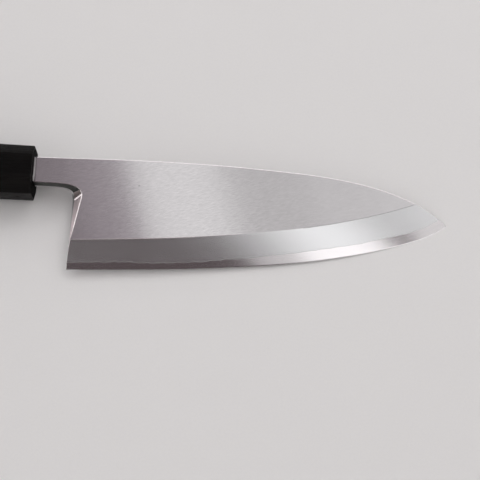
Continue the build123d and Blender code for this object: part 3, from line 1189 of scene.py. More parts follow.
@dataclass
class MouthBead:
    """Bead of resin along the joint between the ferrule's mouth and the neck's flat."""

    form: BladeForm
    low_y: float = -4.9
    high_y: float = 6.9
    steps: int = 36
    reach: float = 0.8
    climb: float = 0.4
    lump: float = 1.0
    lump_y: float = -3.0
    lump_width: float = 0.8
    end_share: float = 0.4
    end_power: float = 0.25
    far_share: float = 0.5
    profile: Rows = (
        (0, -0.5, 0), (0, 0, 1), (0.22, 0, 0.5), (0.55, 0, 0.16),
        (1, 0.02, 0), (0.94, -0.1, 0), (0.36, -0.45, 0),
    )

    def build(self, materials: Materials) -> bpy.types.Object:
        """Sweep the bead from the neck's lower edge to its spine.

        Each point of the profile has its share of the reach, its height over the flat, and its
        share of the climb.

        Args:
            materials: Materials by finish name.

        Returns:
            The finished piece.
        """
        y = np.linspace(self.low_y, self.high_y, self.steps + 1)
        fullness = np.sin(np.linspace(0, np.pi, self.steps + 1)) ** self.end_power
        ends = self.end_share + (1 - self.end_share) * fullness
        lump = self.lump * np.exp(-(((y - self.lump_y) / self.lump_width) ** 2))
        climb = (self.climb + lump) * ends
        rows = []
        for along, rise, share in (*self.profile, self.profile[0]):
            x = np.full(len(y), self.reach * along) * (ends if along > self.far_share else 1)
            flat = self.form.front_z(np.stack([np.full(len(y), self.reach), y], axis=-1))
            rows.append(np.stack([x, y, flat + rise + share * climb], axis=-1))
        skin = np.stack(rows)
        middle = skin[:-1].mean(axis=0)
        shell = Shell("mouth_bead", ("bead",))
        shell.add(skin, facing_out(skin, middle), "bead")
        for end, side in ((0, -ASIDE), (-1, ASIDE)):
            # The upper points of the profile are joined to the lower ones
            loop = skin[:, end]
            shell.add(np.stack([loop[:5], loop[[0, 6, 6, 5, 4]]]), side, "bead")
        return shell.build(materials)


@dataclass
class Handle:
    """Octagonal handle: horn ferrule and ebony grip, bored for the dowel."""

    length: float = 134.0
    ferrule_length: float = 30.0
    width: float = 23.8
    height: float = 21.8
    butt_width: float = 25.2
    facet_width_share: float = 0.246
    facet_height_share: float = 0.243
    arris_radius: float = 0.55
    crown: float = 0.07
    axis_z: float = 3.95
    web: float = 8.0
    bore: float = 7.55
    bore_end: float = -102.0
    slot_root: Pair = (11.4, 7.1)
    slot_deep: Pair = (10.96, 6.85)
    slot_y: float = 1.0
    arc_pull: float = 0.4
    facet_steps: int = 10
    arc_steps: int = 5
    butt_centre: float = 7.0

    # Rounded edges as rings: distance in from the edge, inset, and lean in degrees
    mouth_edge: Rows = (
        (0.0, 0.42, 90), (0.05, 0.22, 60), (0.2, 0.06, 30), (0.42, 0.0, 0),
    )
    seam_edge: Rows = ((0.16, 0.0, 0), (0.05, 0.03, 40), (0.0, 0.1, 75))
    butt_edge: Rows = (
        (1.5, 0.0, 0), (1.25, 0.06, 25), (1.0, 0.24, 45), (0.24, 1.0, 45), (0.06, 1.25, 65), (0.0, 1.5, 90),
    )

    # Plain stretch of each piece: gaps to its front and its rear, and rings
    ferrule_body: tuple[float, float, int] = (0.6, 0.4, 16)
    grip_body: tuple[float, float, int] = (0.5, 2.0, 40)

    def __post_init__(self) -> None:
        """Work out the section's points and the way they face."""
        half_w, half_h = self.width / 2, self.height / 2
        flat = half_w - self.width * self.facet_width_share
        side = half_h - self.height * self.facet_height_share
        quarter = [(half_w, side), (flat, half_h)]
        corners = quarter + [(-y, z) for y, z in reversed(quarter)]
        corners += [(-y, -z) for y, z in corners]
        corners = np.array(corners)
        pull = self.arris_radius * math.tan(math.radians(180 / len(corners)))
        facets = []
        for here, ahead in zip(corners, np.roll(corners, -1, axis=0)):
            along = unit(ahead - here)
            out = np.array((along[1], -along[0]))
            half = np.linalg.norm(ahead - here) / 2 - pull
            share = np.linspace(-1, 1, self.facet_steps + 1)[:, None]
            points = (here + ahead) / 2 + along * half * share - out * self.crown * share**2
            facets.append((points, unit(out + along * 2 * self.crown * share / half)))
        places, faces = [], []
        for i, (points, facing) in enumerate(facets):
            after, after_facing = facets[(i + 1) % len(facets)]
            bulge = unit(facing[-1] + after_facing[0]) * pull * self.arc_pull
            control = (points[-1] + after[0]) / 2 + bulge
            share = np.linspace(0, 1, self.arc_steps + 1)[1:-1, None]
            bend = points[-1] * (1 - share) ** 2 + 2 * control * share * (1 - share) + after[0] * share**2
            places += [points, bend]
            faces += [facing, unit(facing[-1] * (1 - share) + after_facing[0] * share)]
        self.section = np.concatenate(places + [places[0][:1]])
        self.facing = np.concatenate(faces + [faces[0][:1]])

    def _set_at(self, x: float, section: Array) -> Array:
        """Points given across and up from the handle's axis, set at one X."""
        return np.column_stack([np.full(len(section), x), section[:, 0], section[:, 1] + self.axis_z])

    def _ring(self, x: float, inset: float) -> Array:
        """Outer points at one X, drawn in by an inset."""
        swell = 1 + (self.butt_width / self.width - 1) * (-x / self.length)
        return self._set_at(x, self.section * swell - self.facing * inset)

    def _round_ring(self, x: float, radius: float) -> Array:
        """Points of the dowel's bore at one X."""
        return self._set_at(x, unit(self.section) * radius)

    def _slot_ring(self, x: float, size: Pair) -> Array:
        """Points of the tang's slot, on the same rays as the section's points.

        Args:
            x: Place along the handle.
            size: Width and height of the slot there.

        Returns:
            The ring's points.
        """
        ray = unit(self.section)
        across, up = np.maximum(abs(ray), TINY).T
        half_width = np.where(ray[:, 0] > 0, size[0] / 2 + self.slot_y, size[0] / 2 - self.slot_y)
        reach = np.minimum(half_width / across, size[1] / 2 / up)
        return self._set_at(x, ray * reach[:, None])

    def _skin(self, shell: Shell, profile: Sequence[Triple], finish: str) -> None:
        """Add the outer skin.

        Args:
            shell: Shell that takes it.
            profile: X, inset and lean towards the tip, in degrees, of each ring.
            finish: Name of its finish.
        """
        grid = np.stack([self._ring(x, inset) for x, inset, _ in profile])
        angles = [math.radians(lean) for _, _, lean in profile]
        ahead = np.ones(len(self.facing))
        normals = [np.column_stack([ahead * math.sin(a), self.facing * math.cos(a)]) for a in angles]
        round_it = np.broadcast_to(walked(self.section), grid.shape[:2])
        shell.add(grid, np.stack(normals), finish, np.stack([grid[..., 0], round_it], axis=-1))

    def _bored(self, shell: Shell, rings: Sequence[Array], finish: str) -> None:
        """Add a straight-sided hole through rings, facing its axis."""
        side = -unit(np.column_stack([np.zeros(len(self.section)), self.section]))
        shell.add(np.stack(rings), side, finish)

    def _faced(self, shell: Shell, rings: Sequence[Array], side: Array, finish: str) -> None:
        """Add a face square to the axis, through rings, that looks to one side."""
        grid = np.stack(rings)
        shell.add(grid, side, finish, grid[..., 1:])

    def build_ferrule(self, materials: Materials) -> bpy.types.Object:
        """Buffalo-horn ferrule with its slotted web and dowel bore.

        Args:
            materials: Materials by finish name.

        Returns:
            The finished piece.
        """
        shell = Shell("buffalo_horn_ferrule", ("horn", "horn_sawn"))
        end = -self.ferrule_length
        front_gap, rear_gap, rings = self.ferrule_body
        mouth = [(-x, inset, lean) for x, inset, lean in self.mouth_edge]
        body = [(x, 0.0, 0) for x in np.linspace(-front_gap, end + rear_gap, rings)]
        seam = [(end + x, inset, -lean) for x, inset, lean in self.seam_edge]
        self._skin(shell, mouth + body + seam, "horn")
        bore_end, bore_web = (self._round_ring(x, self.bore) for x in (end, -self.web))
        deep, root = self._slot_ring(-self.web, self.slot_deep), self._slot_ring(0.0, self.slot_root)
        self._faced(shell, (self._ring(end, self.seam_edge[-1][1]), bore_end), -AHEAD, "horn_sawn")
        self._bored(shell, (bore_end, bore_web), "horn_sawn")
        self._faced(shell, (bore_web, deep), -AHEAD, "horn_sawn")
        self._bored(shell, (deep, root), "horn_sawn")
        self._faced(shell, (root, self._ring(0.0, self.mouth_edge[0][1])), AHEAD, "horn_sawn")
        return shell.build(materials)

    def build_grip(self, materials: Materials) -> bpy.types.Object:
        """Ebony grip, bored for the dowel and bevelled round its butt.

        Args:
            materials: Materials by finish name.

        Returns:
            The finished piece.
        """
        shell = Shell("ebony_grip", ("ebony", "ebony_end"))
        front, end = -self.ferrule_length, -self.length
        front_gap, rear_gap, rings = self.grip_body
        seam = [(front - x, inset, lean) for x, inset, lean in reversed(self.seam_edge)]
        body = [(x, 0.0, 0) for x in np.linspace(front - front_gap, end + rear_gap, rings)]
        butt = [(end + x, inset, -lean) for x, inset, lean in self.butt_edge]
        self._skin(shell, seam + body + butt, "ebony")
        bore_front, bore_end = (self._round_ring(x, self.bore) for x in (front, self.bore_end))
        self._faced(shell, (self._ring(front, self.seam_edge[-1][1]), bore_front), AHEAD, "ebony")
        self._bored(shell, (bore_front, bore_end), "ebony")
        self._faced(shell, (bore_end, self._round_ring(self.bore_end, 0.0)), AHEAD, "ebony")
        butt_ring = self._ring(end, self.butt_edge[-1][1])
        inner_rings = (self._round_ring(end, radius) for radius in (self.butt_centre, 0.0))
        self._faced(shell, (butt_ring, *inner_rings), -AHEAD, "ebony_end")
        return shell.build(materials)


class Effect(Enum):
    """Surface effects that several finishes share."""

    GRINDING = "grinding_lines"
    FIBRES = "grown_fibres"
    SPECKS = "small_specks"


class Wiring:
    """Short way to place and join nodes in one tree."""

    def __init__(self, tree: bpy.types.NodeTree) -> None:
        """Work in the given tree."""
        self.tree = tree

    def add(self, kind: str, inputs: dict | None = None, **settings: object) -> bpy.types.Node:
        """Place one node.

        Args:
            kind: Node type.
            inputs: Socket name or number to a constant or to the socket that feeds it.
            settings: Properties of the node.

        Returns:
            The new node.
        """
        node = self.tree.nodes.new(kind)
        for name, value in settings.items():
            setattr(node, name, value)
        self.feed(node, inputs or {})
        return node

    def feed(self, node: bpy.types.Node, inputs: dict) -> None:
        """Set or link a node's inputs.

        Args:
            node: Node that takes them.
            inputs: Socket name or number to a constant or to the socket that feeds it.
        """
        for name, value in inputs.items():
            if isinstance(value, Socket):
                self.tree.links.new(value, node.inputs[name])
            else:
                node.inputs[name].default_value = value

    def math(self, operation: str, *values: object) -> Socket:
        """Result of a Math node over constants or sockets."""
        return self.add("ShaderNodeMath", dict(enumerate(values)), operation=operation).outputs[0]

    def times(self, vector: Socket, factor: object) -> Socket:
        """Vector multiplied, axis by axis, by a constant or another vector."""
        return self.add("ShaderNodeVectorMath", {0: vector, 1: factor}, operation="MULTIPLY").outputs[0]

    def triple(self, x: object, y: object, z: object) -> Socket:
        """Vector of three numbers or sockets."""
        return self.add("ShaderNodeCombineXYZ", {"X": x, "Y": y, "Z": z}).outputs[0]

    def spread(self, value: Socket, low: object, high: object) -> Socket:
        """Value stretched so that low becomes 0 and high becomes 1, clamped."""
        inputs = {"Value": value, "From Min": low, "From Max": high}
        return self.add("ShaderNodeMapRange", inputs).outputs["Result"]

    def noise(self, vector: Socket, scale: object, detail: float) -> Socket:
        """Noise stretched to fill 0 to 1."""
        inputs = {"Vector": vector, "Scale": scale, "Detail": detail, "Roughness": NOISE_ROUGHNESS}
        return self.spread(self.add("ShaderNodeTexNoise", inputs).outputs["Fac"], *NOISE_SPAN)

    def swing(self, middle: float, *swings: tuple[Socket, float]) -> Socket:
        """Value round a middle, swung by masks.

        Args:
            middle: Value where every mask is a half.
            swings: Mask and the whole swing that it gives.

        Returns:
            Socket with the value.
        """
        value: object = middle - sum(reach / 2 for _, reach in swings)
        for mask, reach in swings:
            value = self.math("MULTIPLY_ADD", mask, reach, value)
        return value

    def mixed(self, share: object, none: Sequence[float], full: Sequence[float]) -> Socket:
        """Colour between two plain ones, by a share."""
        # The Mix node takes its share at socket 0 and its colours at 6 and 7, and gives one at 2
        inputs = {0: share, 6: (*none, 1), 7: (*full, 1)}
        return self.add("ShaderNodeMix", inputs, data_type="RGBA").outputs[2]

    def toned(self, colour: Sequence[float], tone: Socket) -> Socket:
        """Plain colour made lighter or darker by a tone about one."""
        return self.times(self.triple(*colour), tone)

    def bump(self, height: Socket, depth: float) -> Socket:
        """Normal bent by a height of 0 to 1 over a depth in metres."""
        return self.add("ShaderNodeBump", {"Height": height, "Distance": depth, "Strength": 1.0}).outputs[0]


@dataclass
class EffectKit:
    """Shader node groups, each built once and placed in every finish that needs it."""

    cross_angle: float = 0.3
    streak_reach: Triple = (0.45, 0.16, 1.0)
    band_length: float = 6.0
    pore_reach: Triple = (6.0, 0.8, 0.8)
    pore_span: Pair = (0.72, 0.95)
    speck_core: float = 0.5
    speck_blur: float = 0.001

    def __post_init__(self) -> None:
        """Build the groups."""
        self.groups = {
            Effect.GRINDING: self._grinding(),
            Effect.FIBRES: self._fibres(),
            Effect.SPECKS: self._specks(),
        }

    def place(self, wiring: Wiring, effect: Effect, **inputs: object) -> bpy.types.NodeOutputs:
        """Outputs of one effect, placed in a material with the inputs given by name."""
        return wiring.add("ShaderNodeGroup", inputs, node_tree=self.groups[effect]).outputs

    def specks(self, wiring: Wiring, place: Socket, grid: Sequence[float]) -> Socket:
        """Mask of specks, given their scale, the share of cells that hold one, and their size."""
        scale, share, size = grid
        return self.place(wiring, Effect.SPECKS, Vector=place, Scale=scale, Share=share, Size=size)["Mask"]

    @staticmethod
    def _start(
        effect: Effect, values: dict[str, float], outputs: Sequence[str]
    ) -> tuple[Wiring, bpy.types.NodeOutputs, bpy.types.Node]:
        """Start a group that takes a vector and numbers and puts out masks.

        Args:
            effect: Effect that names it.
            values: Number inputs and their defaults.
            outputs: Names of the outputs.

        Returns:
            The group's wiring, its input sockets and its output node.
        """
        group = bpy.data.node_groups.new(effect.value, "ShaderNodeTree")
        group.interface.new_socket("Vector", in_out="INPUT", socket_type="NodeSocketVector")
        for label, default in values.items():
            socket = group.interface.new_socket(label, in_out="INPUT", socket_type="NodeSocketFloat")
            socket.default_value = default
        for label in outputs:
            group.interface.new_socket(label, in_out="OUTPUT", socket_type="NodeSocketFloat")
        wiring = Wiring(group)
        return wiring, wiring.add("NodeGroupInput").outputs, wiring.add("NodeGroupOutput")

    def _grinding(self) -> bpy.types.NodeTree:
        """Fine lines, broader streaks and clouds of a surface ground along its first axis.

        Returns:
            The node group.
        """
        values = {"Along": 30.0, "Across": 2000.0, "Broad": 20.0}
        outputs = ("Lines", "Crossed", "Streaks", "Clouds")
        wiring, inputs, output = self._start(Effect.GRINDING, values, outputs)
        reach = wiring.triple(inputs["Along"], inputs["Across"], 1.0)
        drawn = wiring.times(inputs["Vector"], reach)
        turn = {"Vector": inputs["Vector"], "Angle": self.cross_angle}
        turned = wiring.add("ShaderNodeVectorRotate", turn).outputs[0]
        masks = {
            "Lines": wiring.noise(drawn, 1.0, detail=3.0),
            "Crossed": wiring.noise(wiring.times(turned, reach), 1.0, detail=2.0),
            "Streaks": wiring.noise(wiring.times(drawn, self.streak_reach), 1.0, detail=2.0),
            "Clouds": wiring.noise(inputs["Vector"], inputs["Broad"], detail=3.0),
        }
        wiring.feed(output, masks)
        return wiring.tree

    def _fibres(self) -> bpy.types.NodeTree:
        """Long fibres, growth bands and short pores of horn or wood that grew along X.

        Returns:
            The node group.
        """
        values = {"Fine": 2600.0, "Bands": 230.0, "Length": 40.0}
        wiring, inputs, output = self._start(Effect.FIBRES, values, ("Fibres", "Bands", "Pores"))
        place = inputs["Vector"]
        fine = wiring.triple(inputs["Length"], inputs["Fine"], inputs["Fine"])
        broad = wiring.triple(self.band_length, inputs["Bands"], inputs["Bands"])
        short = wiring.times(fine, self.pore_reach)
        pores = wiring.noise(wiring.times(place, short), 1.0, detail=0.0)
        masks = {
            "Fibres": wiring.noise(wiring.times(place, fine), 1.0, detail=2.0),
            "Bands": wiring.noise(wiring.times(place, broad), 1.0, detail=3.0),
            "Pores": wiring.spread(pores, *self.pore_span),
        }
        wiring.feed(output, masks)
        return wiring.tree

    def _specks(self) -> bpy.types.NodeTree:
        """Scattered round specks: few of the cells hold one.

        Returns:
            The node group.
        """
        values = {"Scale": 150.0, "Share": 0.1, "Size": 0.2}
        wiring, inputs, output = self._start(Effect.SPECKS, values, ("Mask",))
        cells = wiring.add("ShaderNodeTexVoronoi", {"Vector": inputs["Vector"], "Scale": inputs["Scale"]})
        chance = wiring.add("ShaderNodeSeparateColor", {0: cells.outputs["Color"]}).outputs[0]
        chosen = wiring.spread(chance, wiring.math("SUBTRACT", 1.0, inputs["Share"]), 1.0)
        radius = wiring.math("MULTIPLY", chosen, inputs["Size"])
        outer = wiring.math("ADD", radius, self.speck_blur)
        inner = wiring.math("MULTIPLY", radius, self.speck_core)
        beyond = wiring.spread(cells.outputs["Distance"], inner, outer)
        wiring.feed(output, {"Mask": wiring.math("SUBTRACT", 1.0, beyond)})
        return wiring.tree


@dataclass(frozen=True)
class Finish:
    """Name, colour in linear light and roughness of a finish."""

    name: str
    colour: Triple
    roughness: float = 0.4

    def make(self, kit: EffectKit) -> bpy.types.Material:
        """Build the material.

        Args:
            kit: The shared effects.

        Returns:
            The material, with its Principled BSDF fed by the finish.
        """
        material = bpy.data.materials.new(self.name)
        material.use_nodes = True
        shader = next(node for node in material.node_tree.nodes if node.type == "BSDF_PRINCIPLED")
        wiring = Wiring(material.node_tree)
        wiring.feed(shader, self.sockets(wiring, kit))
        return material

    def sockets(self, wiring: Wiring, kit: EffectKit) -> dict[str, object]:
        """What feeds the shader's sockets by name: numbers, colours and the shared effects."""
        return {"Base Color": (*self.colour, 1), "Roughness": self.roughness}


@dataclass(frozen=True)
class GroundSteel(Finish):
    """Ground metal: scratches one way, soft clouds and a few specks."""

    along: float = 60.0
    across: float = 2600.0
    broad: float = 22.0
    line_tone: float = 0.1
    cross_tone: float = 0.03
    streak_tone: float = 0.06
    cloud_tone: float = 0.06
    line_depth: float = 2e-6
    reliefs: Triple = (0.5, 0.3, 0.2)
    rough_swing: float = 0.05
    anisotropy: float = 0.5
    brush_turn: float = 0.25
    # Strength of the lines outside the painted sheen, and the span of that sheen along the lines
    calm: float = 1.0
    painted_sheen_span: tuple[float, float, float, float] = (-0.01, 0.03, 0.07, 0.125)
    specks: Triple = (160.0, 0.06, 0.09)
    speck_dark: float = 0.4

    def sockets(self, wiring: Wiring, kit: EffectKit) -> dict[str, object]:
        """Lines, streaks, clouds and specks of the ground surface.

        Args:
            wiring: The material's wiring.
            kit: The shared effects.

        Returns:
            What feeds each of the shader's sockets.
        """
        place = wiring.add("ShaderNodeUVMap", uv_map=MAP).outputs["UV"]
        reach = {"Along": self.along, "Across": self.across, "Broad": self.broad}
        ground = kit.place(wiring, Effect.GRINDING, Vector=place, **reach)
        fine, crossed, broad, clouds = (ground[name] for name in ("Lines", "Crossed", "Streaks", "Clouds"))
        speck = kit.specks(wiring, place, self.specks)
        lines = wiring.swing(0.0, (fine, self.line_tone), (crossed, self.cross_tone))
        # Painted sheen: the lines swing harder where the highlight falls
        lines = wiring.math("MULTIPLY_ADD", lines, self._painted_sheen_strength(wiring, place), 1.0)
        drift = wiring.swing(1.0, (broad, self.streak_tone), (clouds, self.cloud_tone))
        tone = wiring.math("MULTIPLY", lines, drift)
        clean = wiring.math("MULTIPLY_ADD", speck, -self.speck_dark, 1.0)
        tangent = wiring.add("ShaderNodeTangent", direction_type="UV_MAP", uv_map=MAP)
        relief = zip((fine, crossed, broad), self.reliefs)
        return {
            "Base Color": wiring.toned(self.colour, wiring.math("MULTIPLY", tone, clean)),
            "Roughness": wiring.swing(self.roughness, (clouds, self.rough_swing), (fine, self.rough_swing)),
            "Metallic": 1.0,
            "Anisotropic": self.anisotropy,
            "Anisotropic Rotation": self.brush_turn,
            "Tangent": tangent.outputs[0],
            "Normal": wiring.bump(wiring.swing(0.5, *relief), self.line_depth),
        }

    def _painted_sheen_strength(self, wiring: Wiring, place: Socket) -> object:
        """Strength of the lines: full over the middle of the blade, where the highlight falls, calm beyond;
        the stronger lines are a painted sheen.

        Args:
            wiring: The material's wiring.
            place: Coordinates along and across the lines.

        Returns:
            Socket or plain number.
        """
        if self.calm == 1.0:
            return 1.0
        along = wiring.add("ShaderNodeSeparateXYZ", {0: place}).outputs["X"]
        start, full, fading, end = self.painted_sheen_span
        middle = wiring.math("MULTIPLY", wiring.spread(along, start, full), wiring.spread(along, end, fading))
        return wiring.math("MULTIPLY_ADD", middle, 1.0 - self.calm, self.calm)


@dataclass(frozen=True)
class ForgedScale(Finish):
    """Hammered steel under its fire scale."""

    scale_colour: Triple = (0.03, 0.028, 0.027)
    lumps: float = 180.0
    grit: float = 1620.0
    pits: Triple = (600.0, 0.4, 0.3)
    bare_span: Pair = (0.55, 0.8)
    lump_relief: float = 0.7
    grit_relief: float = 0.2
    pit_relief: float = 0.3
    depth: float = 8e-5
    metal: float = 0.6
    metal_swing: float = 0.5
    grit_rough: float = 0.2
    bare_smooth: float = 0.15

    def sockets(self, wiring: Wiring, kit: EffectKit) -> dict[str, object]:
        """Lumps, grit and pits, with bare metal on the lumps.

        Args:
            wiring: The material's wiring.
            kit: The shared effects.

        Returns:
            What feeds each of the shader's sockets.
        """
        place = wiring.add("ShaderNodeTexCoord").outputs["Object"]
        lumps = wiring.noise(place, self.lumps, detail=4.0)
        grit = wiring.noise(place, self.grit, detail=2.0)
        pits = kit.specks(wiring, place, self.pits)
        bare = wiring.spread(lumps, *self.bare_span)
        mixed = wiring.mixed(bare, self.scale_colour, self.colour)
        relief = ((lumps, self.lump_relief), (grit, self.grit_relief), (pits, -self.pit_relief))
        height = wiring.swing(0.5, *relief)
        return {
            "Base Color": mixed,
            "Metallic": wiring.swing(self.metal, (bare, self.metal_swing)),
            "Roughness": wiring.swing(self.roughness, (grit, self.grit_rough), (bare, -self.bare_smooth)),
            "Normal": wiring.bump(height, self.depth),
        }


@dataclass(frozen=True)
class Grown(Finish):
    """Horn or wood: fibres, bands and pores along the handle."""

    pale: Triple = (0.05, 0.04, 0.03)
    fine: float = 2600.0
    bands: float = 230.0
    length: float = 40.0
    pale_share: float = 0.3
    fibre_tone: float = 0.3
    fibre_rough: float = 0.08
    fibre_relief: float = 0.3
    band_rough: float = 0.06
    pore_dark: float = 0.5
    pore_rough: float = 0.3
    pore_relief: float = 1.0
    depth: float = 1e-5
    shine: float = 0.5

    def sockets(self, wiring: Wiring, kit: EffectKit) -> dict[str, object]:
        """Fibres, bands and pores in colour, gloss and relief.

        Args:
            wiring: The material's wiring.
            kit: The shared effects.

        Returns:
            What feeds each of the shader's sockets.
        """
        place = wiring.add("ShaderNodeTexCoord").outputs["Object"]
        reach = {"Fine": self.fine, "Bands": self.bands, "Length": self.length}
        grain = kit.place(wiring, Effect.FIBRES, Vector=place, **reach)
        fibres, bands, pores = (grain[name] for name in ("Fibres", "Bands", "Pores"))
        mixed = wiring.mixed(wiring.math("MULTIPLY", bands, self.pale_share), self.colour, self.pale)
        tone = wiring.swing(1.0, (fibres, self.fibre_tone))
        deep = wiring.math("MULTIPLY_ADD", pores, -self.pore_dark, 1.0)
        height = wiring.swing(0.5, (fibres, self.fibre_relief), (pores, -self.pore_relief))
        rough = ((fibres, self.fibre_rough), (bands, self.band_rough), (pores, self.pore_rough))
        return {
            "Base Color": wiring.times(mixed, wiring.math("MULTIPLY", tone, deep)),
            "Roughness": wiring.swing(self.roughness, *rough),
            "Specular IOR Level": self.shine,
            "Normal": wiring.bump(height, self.depth),
        }


@dataclass(frozen=True)
class Cast(Finish):
    """Resin or rubber: mottled, with bubbles or pits."""

    mottle: float = 90.0
    grit_ratio: float = 30.0
    pit_scale: float = 900.0
    pit_share: float = 0.15
    pit_size: float = 0.35
    tone: float = 0.2
    cloud_rough: float = 0.1
    grit_rough: float = 0.08
    grit_relief: float = 0.3
    pit_relief: float = 0.7
    depth: float = 3e-5

    def sockets(self, wiring: Wiring, kit: EffectKit) -> dict[str, object]:
        """Clouds, grit and pits in colour, gloss and relief.

        Args:
            wiring: The material's wiring.
            kit: The shared effects.

        Returns:
            What feeds each of the shader's sockets.
        """
        place = wiring.add("ShaderNodeTexCoord").outputs["Object"]
        clouds = wiring.noise(place, self.mottle, detail=3.0)
        grit = wiring.noise(place, self.grit_ratio * self.mottle, detail=1.0)
        pits = kit.specks(wiring, place, (self.pit_scale, self.pit_share, self.pit_size))
        tone = wiring.swing(1.0, (clouds, self.tone), (pits, -self.tone))
        relief = ((grit, self.grit_relief), (pits, -self.pit_relief))
        return {
            "Base Color": wiring.toned(self.colour, tone),
            "Roughness": wiring.swing(self.roughness, (clouds, self.cloud_rough), (grit, self.grit_rough)),
            "Normal": wiring.bump(wiring.swing(0.5, *relief), self.depth),
        }


@dataclass(frozen=True)
class Paper(Finish):
    """Matt paper with a faint mottle and grain."""

    mottle: float = 3.0
    mottle_tone: float = 0.01
    grain: float = 900.0
    grain_tone: float = 0.02

    def sockets(self, wiring: Wiring, kit: EffectKit) -> dict[str, object]:
        """Mottle and grain in the colour.

        Args:
            wiring: The material's wiring.
            kit: The shared effects, of which paper needs none.

        Returns:
            What feeds each of the shader's sockets.
        """
        place = wiring.add("ShaderNodeTexCoord").outputs["Object"]
        mottle, grain = (wiring.noise(place, scale, detail=2.0) for scale in (self.mottle, self.grain))
        tone = wiring.swing(1.0, (mottle, self.mottle_tone), (grain, self.grain_tone))
        return {"Base Color": wiring.toned(self.colour, tone), "Roughness": self.roughness}


# Every finish of the knife, by the name that its surfaces give
FINISHES: dict[str, Finish] = {
    # Painted sheen: the flat's lines show fully only over the middle, where the highlight falls
    "iron_flat": GroundSteel(
        "iron_flat_satin", (0.6, 0.592, 0.598), 0.145, along=330, across=1900, calm=0.3,
        line_tone=0.155, cross_tone=0.115, streak_tone=0.03, cloud_tone=0.03,
        line_depth=1.5e-6, rough_swing=0.02,
    ),
    "iron_bevel": GroundSteel(
        "iron_bevel_hazed", (0.74, 0.75, 0.758), 0.245, along=18, across=1900, line_depth=3e-7,
        line_tone=0.025, cross_tone=0.01, streak_tone=0.02, cloud_tone=0.03, rough_swing=0.02,
    ),
    "rubbed": GroundSteel("iron_rubbed_bright", (0.74, 0.71, 0.72), 0.26),
    "steel_band": GroundSteel(
        "steel_band_fine", (0.74, 0.722, 0.73), 0.16, along=25, across=1500,
        line_tone=0.03, streak_tone=0.02, cloud_tone=0.03, line_depth=6e-7, rough_swing=0.02,
    ),
    "weld_line": GroundSteel("iron_weld_line", (0.7, 0.71, 0.71), 0.3, along=18, across=1900),
    # Painted dark reflection: darker iron on the ridge's last stretch, for the dark line it reflects
    "ridge_painted_dark_reflection": GroundSteel("iron_ridge_painted_dark_reflection", (0.36, 0.36, 0.365), 0.3, along=18, across=1900),
    # Painted reflection: bright pink iron on the notch's wall, for the bright pinkish light it reflects
    "notch_wall_painted_reflection": GroundSteel("iron_notch_wall_painted_reflection", (0.93, 0.82, 0.84), 0.5),
    # Painted highlight: iron brighter than the metal itself, on the notch's arris and crease and on the ridge
    # near the heel
    "arris_painted_highlight": GroundSteel("iron_arris_painted_highlight", (0.97, 0.9, 0.905), 0.35),
    # Painted dark reflection: darker pink iron on the notch's bend, for the darker surroundings it reflects
    "notch_turn_painted_dark_reflection": GroundSteel("iron_notch_turn_painted_dark_reflection", (0.46, 0.385, 0.385), 0.42, across=2200),
    # Painted shade: near-black iron on the neck's underside, for the shade and dark reflection under the neck
    "neck_under_painted_shade": GroundSteel("iron_neck_painted_shade", (0.06, 0.063, 0.059), 0.35, across=2000),
    "honed": GroundSteel(
        "steel_honed_bright", (0.76, 0.74, 0.745), 0.17, along=20, across=2200, line_tone=0.05,
    ),
    "steel_back": GroundSteel("steel_back_hollow", (0.64, 0.63, 0.64), 0.3, across=900),
    "forged": ForgedScale("forged_scale", (0.3, 0.28, 0.27), 0.55),
    "horn": Grown(
        "buffalo_horn_black", (0.0055, 0.0052, 0.0052), 0.42,
        pale=(0.02, 0.017, 0.016), bands=160, pale_share=0.3, pore_dark=0.1, depth=3e-6, shine=0.03,
    ),
    "horn_sawn": Grown(
        "buffalo_horn_sawn", (0.004, 0.0038, 0.0038), 0.7,
        pale=(0.012, 0.01, 0.01), bands=160, pale_share=0.3, pore_dark=0.1, depth=6e-6, shine=0.01,
    ),
    "ebony": Grown(
        "ebony_oiled", (0.013, 0.0105, 0.0095), 0.45,
        pale=(0.05, 0.034, 0.025), fine=2400, bands=260, pale_share=0.25, depth=2e-5, shine=0.3,
    ),
    "ebony_end": Grown(
        "ebony_end_grain", (0.01, 0.0085, 0.008), 0.55,
        pale=(0.035, 0.025, 0.02), fine=2400, bands=420, pale_share=0.3, depth=2e-5, shine=0.35,
    ),
    "dowel": Grown(
        "dowel_softwood", (0.52, 0.36, 0.2), 0.7,
        pale=(0.66, 0.5, 0.32), fine=1800, bands=500, pale_share=1.0, pore_dark=0.2, depth=3e-5, shine=0.3,
    ),
    "bedding": Cast("bedding_amber", (0.33, 0.17, 0.05), 0.3, mottle=120),
    "seal": Cast("mouth_seal_dark", (0.012, 0.011, 0.011), 0.6, mottle=200, pit_share=0.3),
    "bead": Cast("mouth_bead_pale", (0.36, 0.345, 0.35), 0.3, mottle=400, pit_share=0.05),
}


@dataclass(frozen=True)
class Panel:
    """Soft light panel of even brightness; place and sizes in metres."""

    name: str
    place: Triple
    size: Pair
    brightness: float
    aim: Triple | None = None
    spin: float = 0.0
    colour: Triple = (1.0, 1.0, 1.0)

    def hang(self) -> None:
        """Hang the panel, facing down or towards its aim."""
        lamp = bpy.data.lights.new(self.name, "AREA")
        lamp.shape = "RECTANGLE"
        lamp.size, lamp.size_y = self.size
        lamp.energy = math.pi * self.size[0] * self.size[1] * self.brightness
        lamp.color = self.colour
        holder = new_object(self.name, lamp)
        holder.location = self.place
        if self.aim is None:
            holder.rotation_euler = (0, 0, math.radians(self.spin))
        else:
            away = Vector(self.aim) - Vector(self.place)
            holder.rotation_euler = away.to_track_quat("-Z", "Y").to_euler()


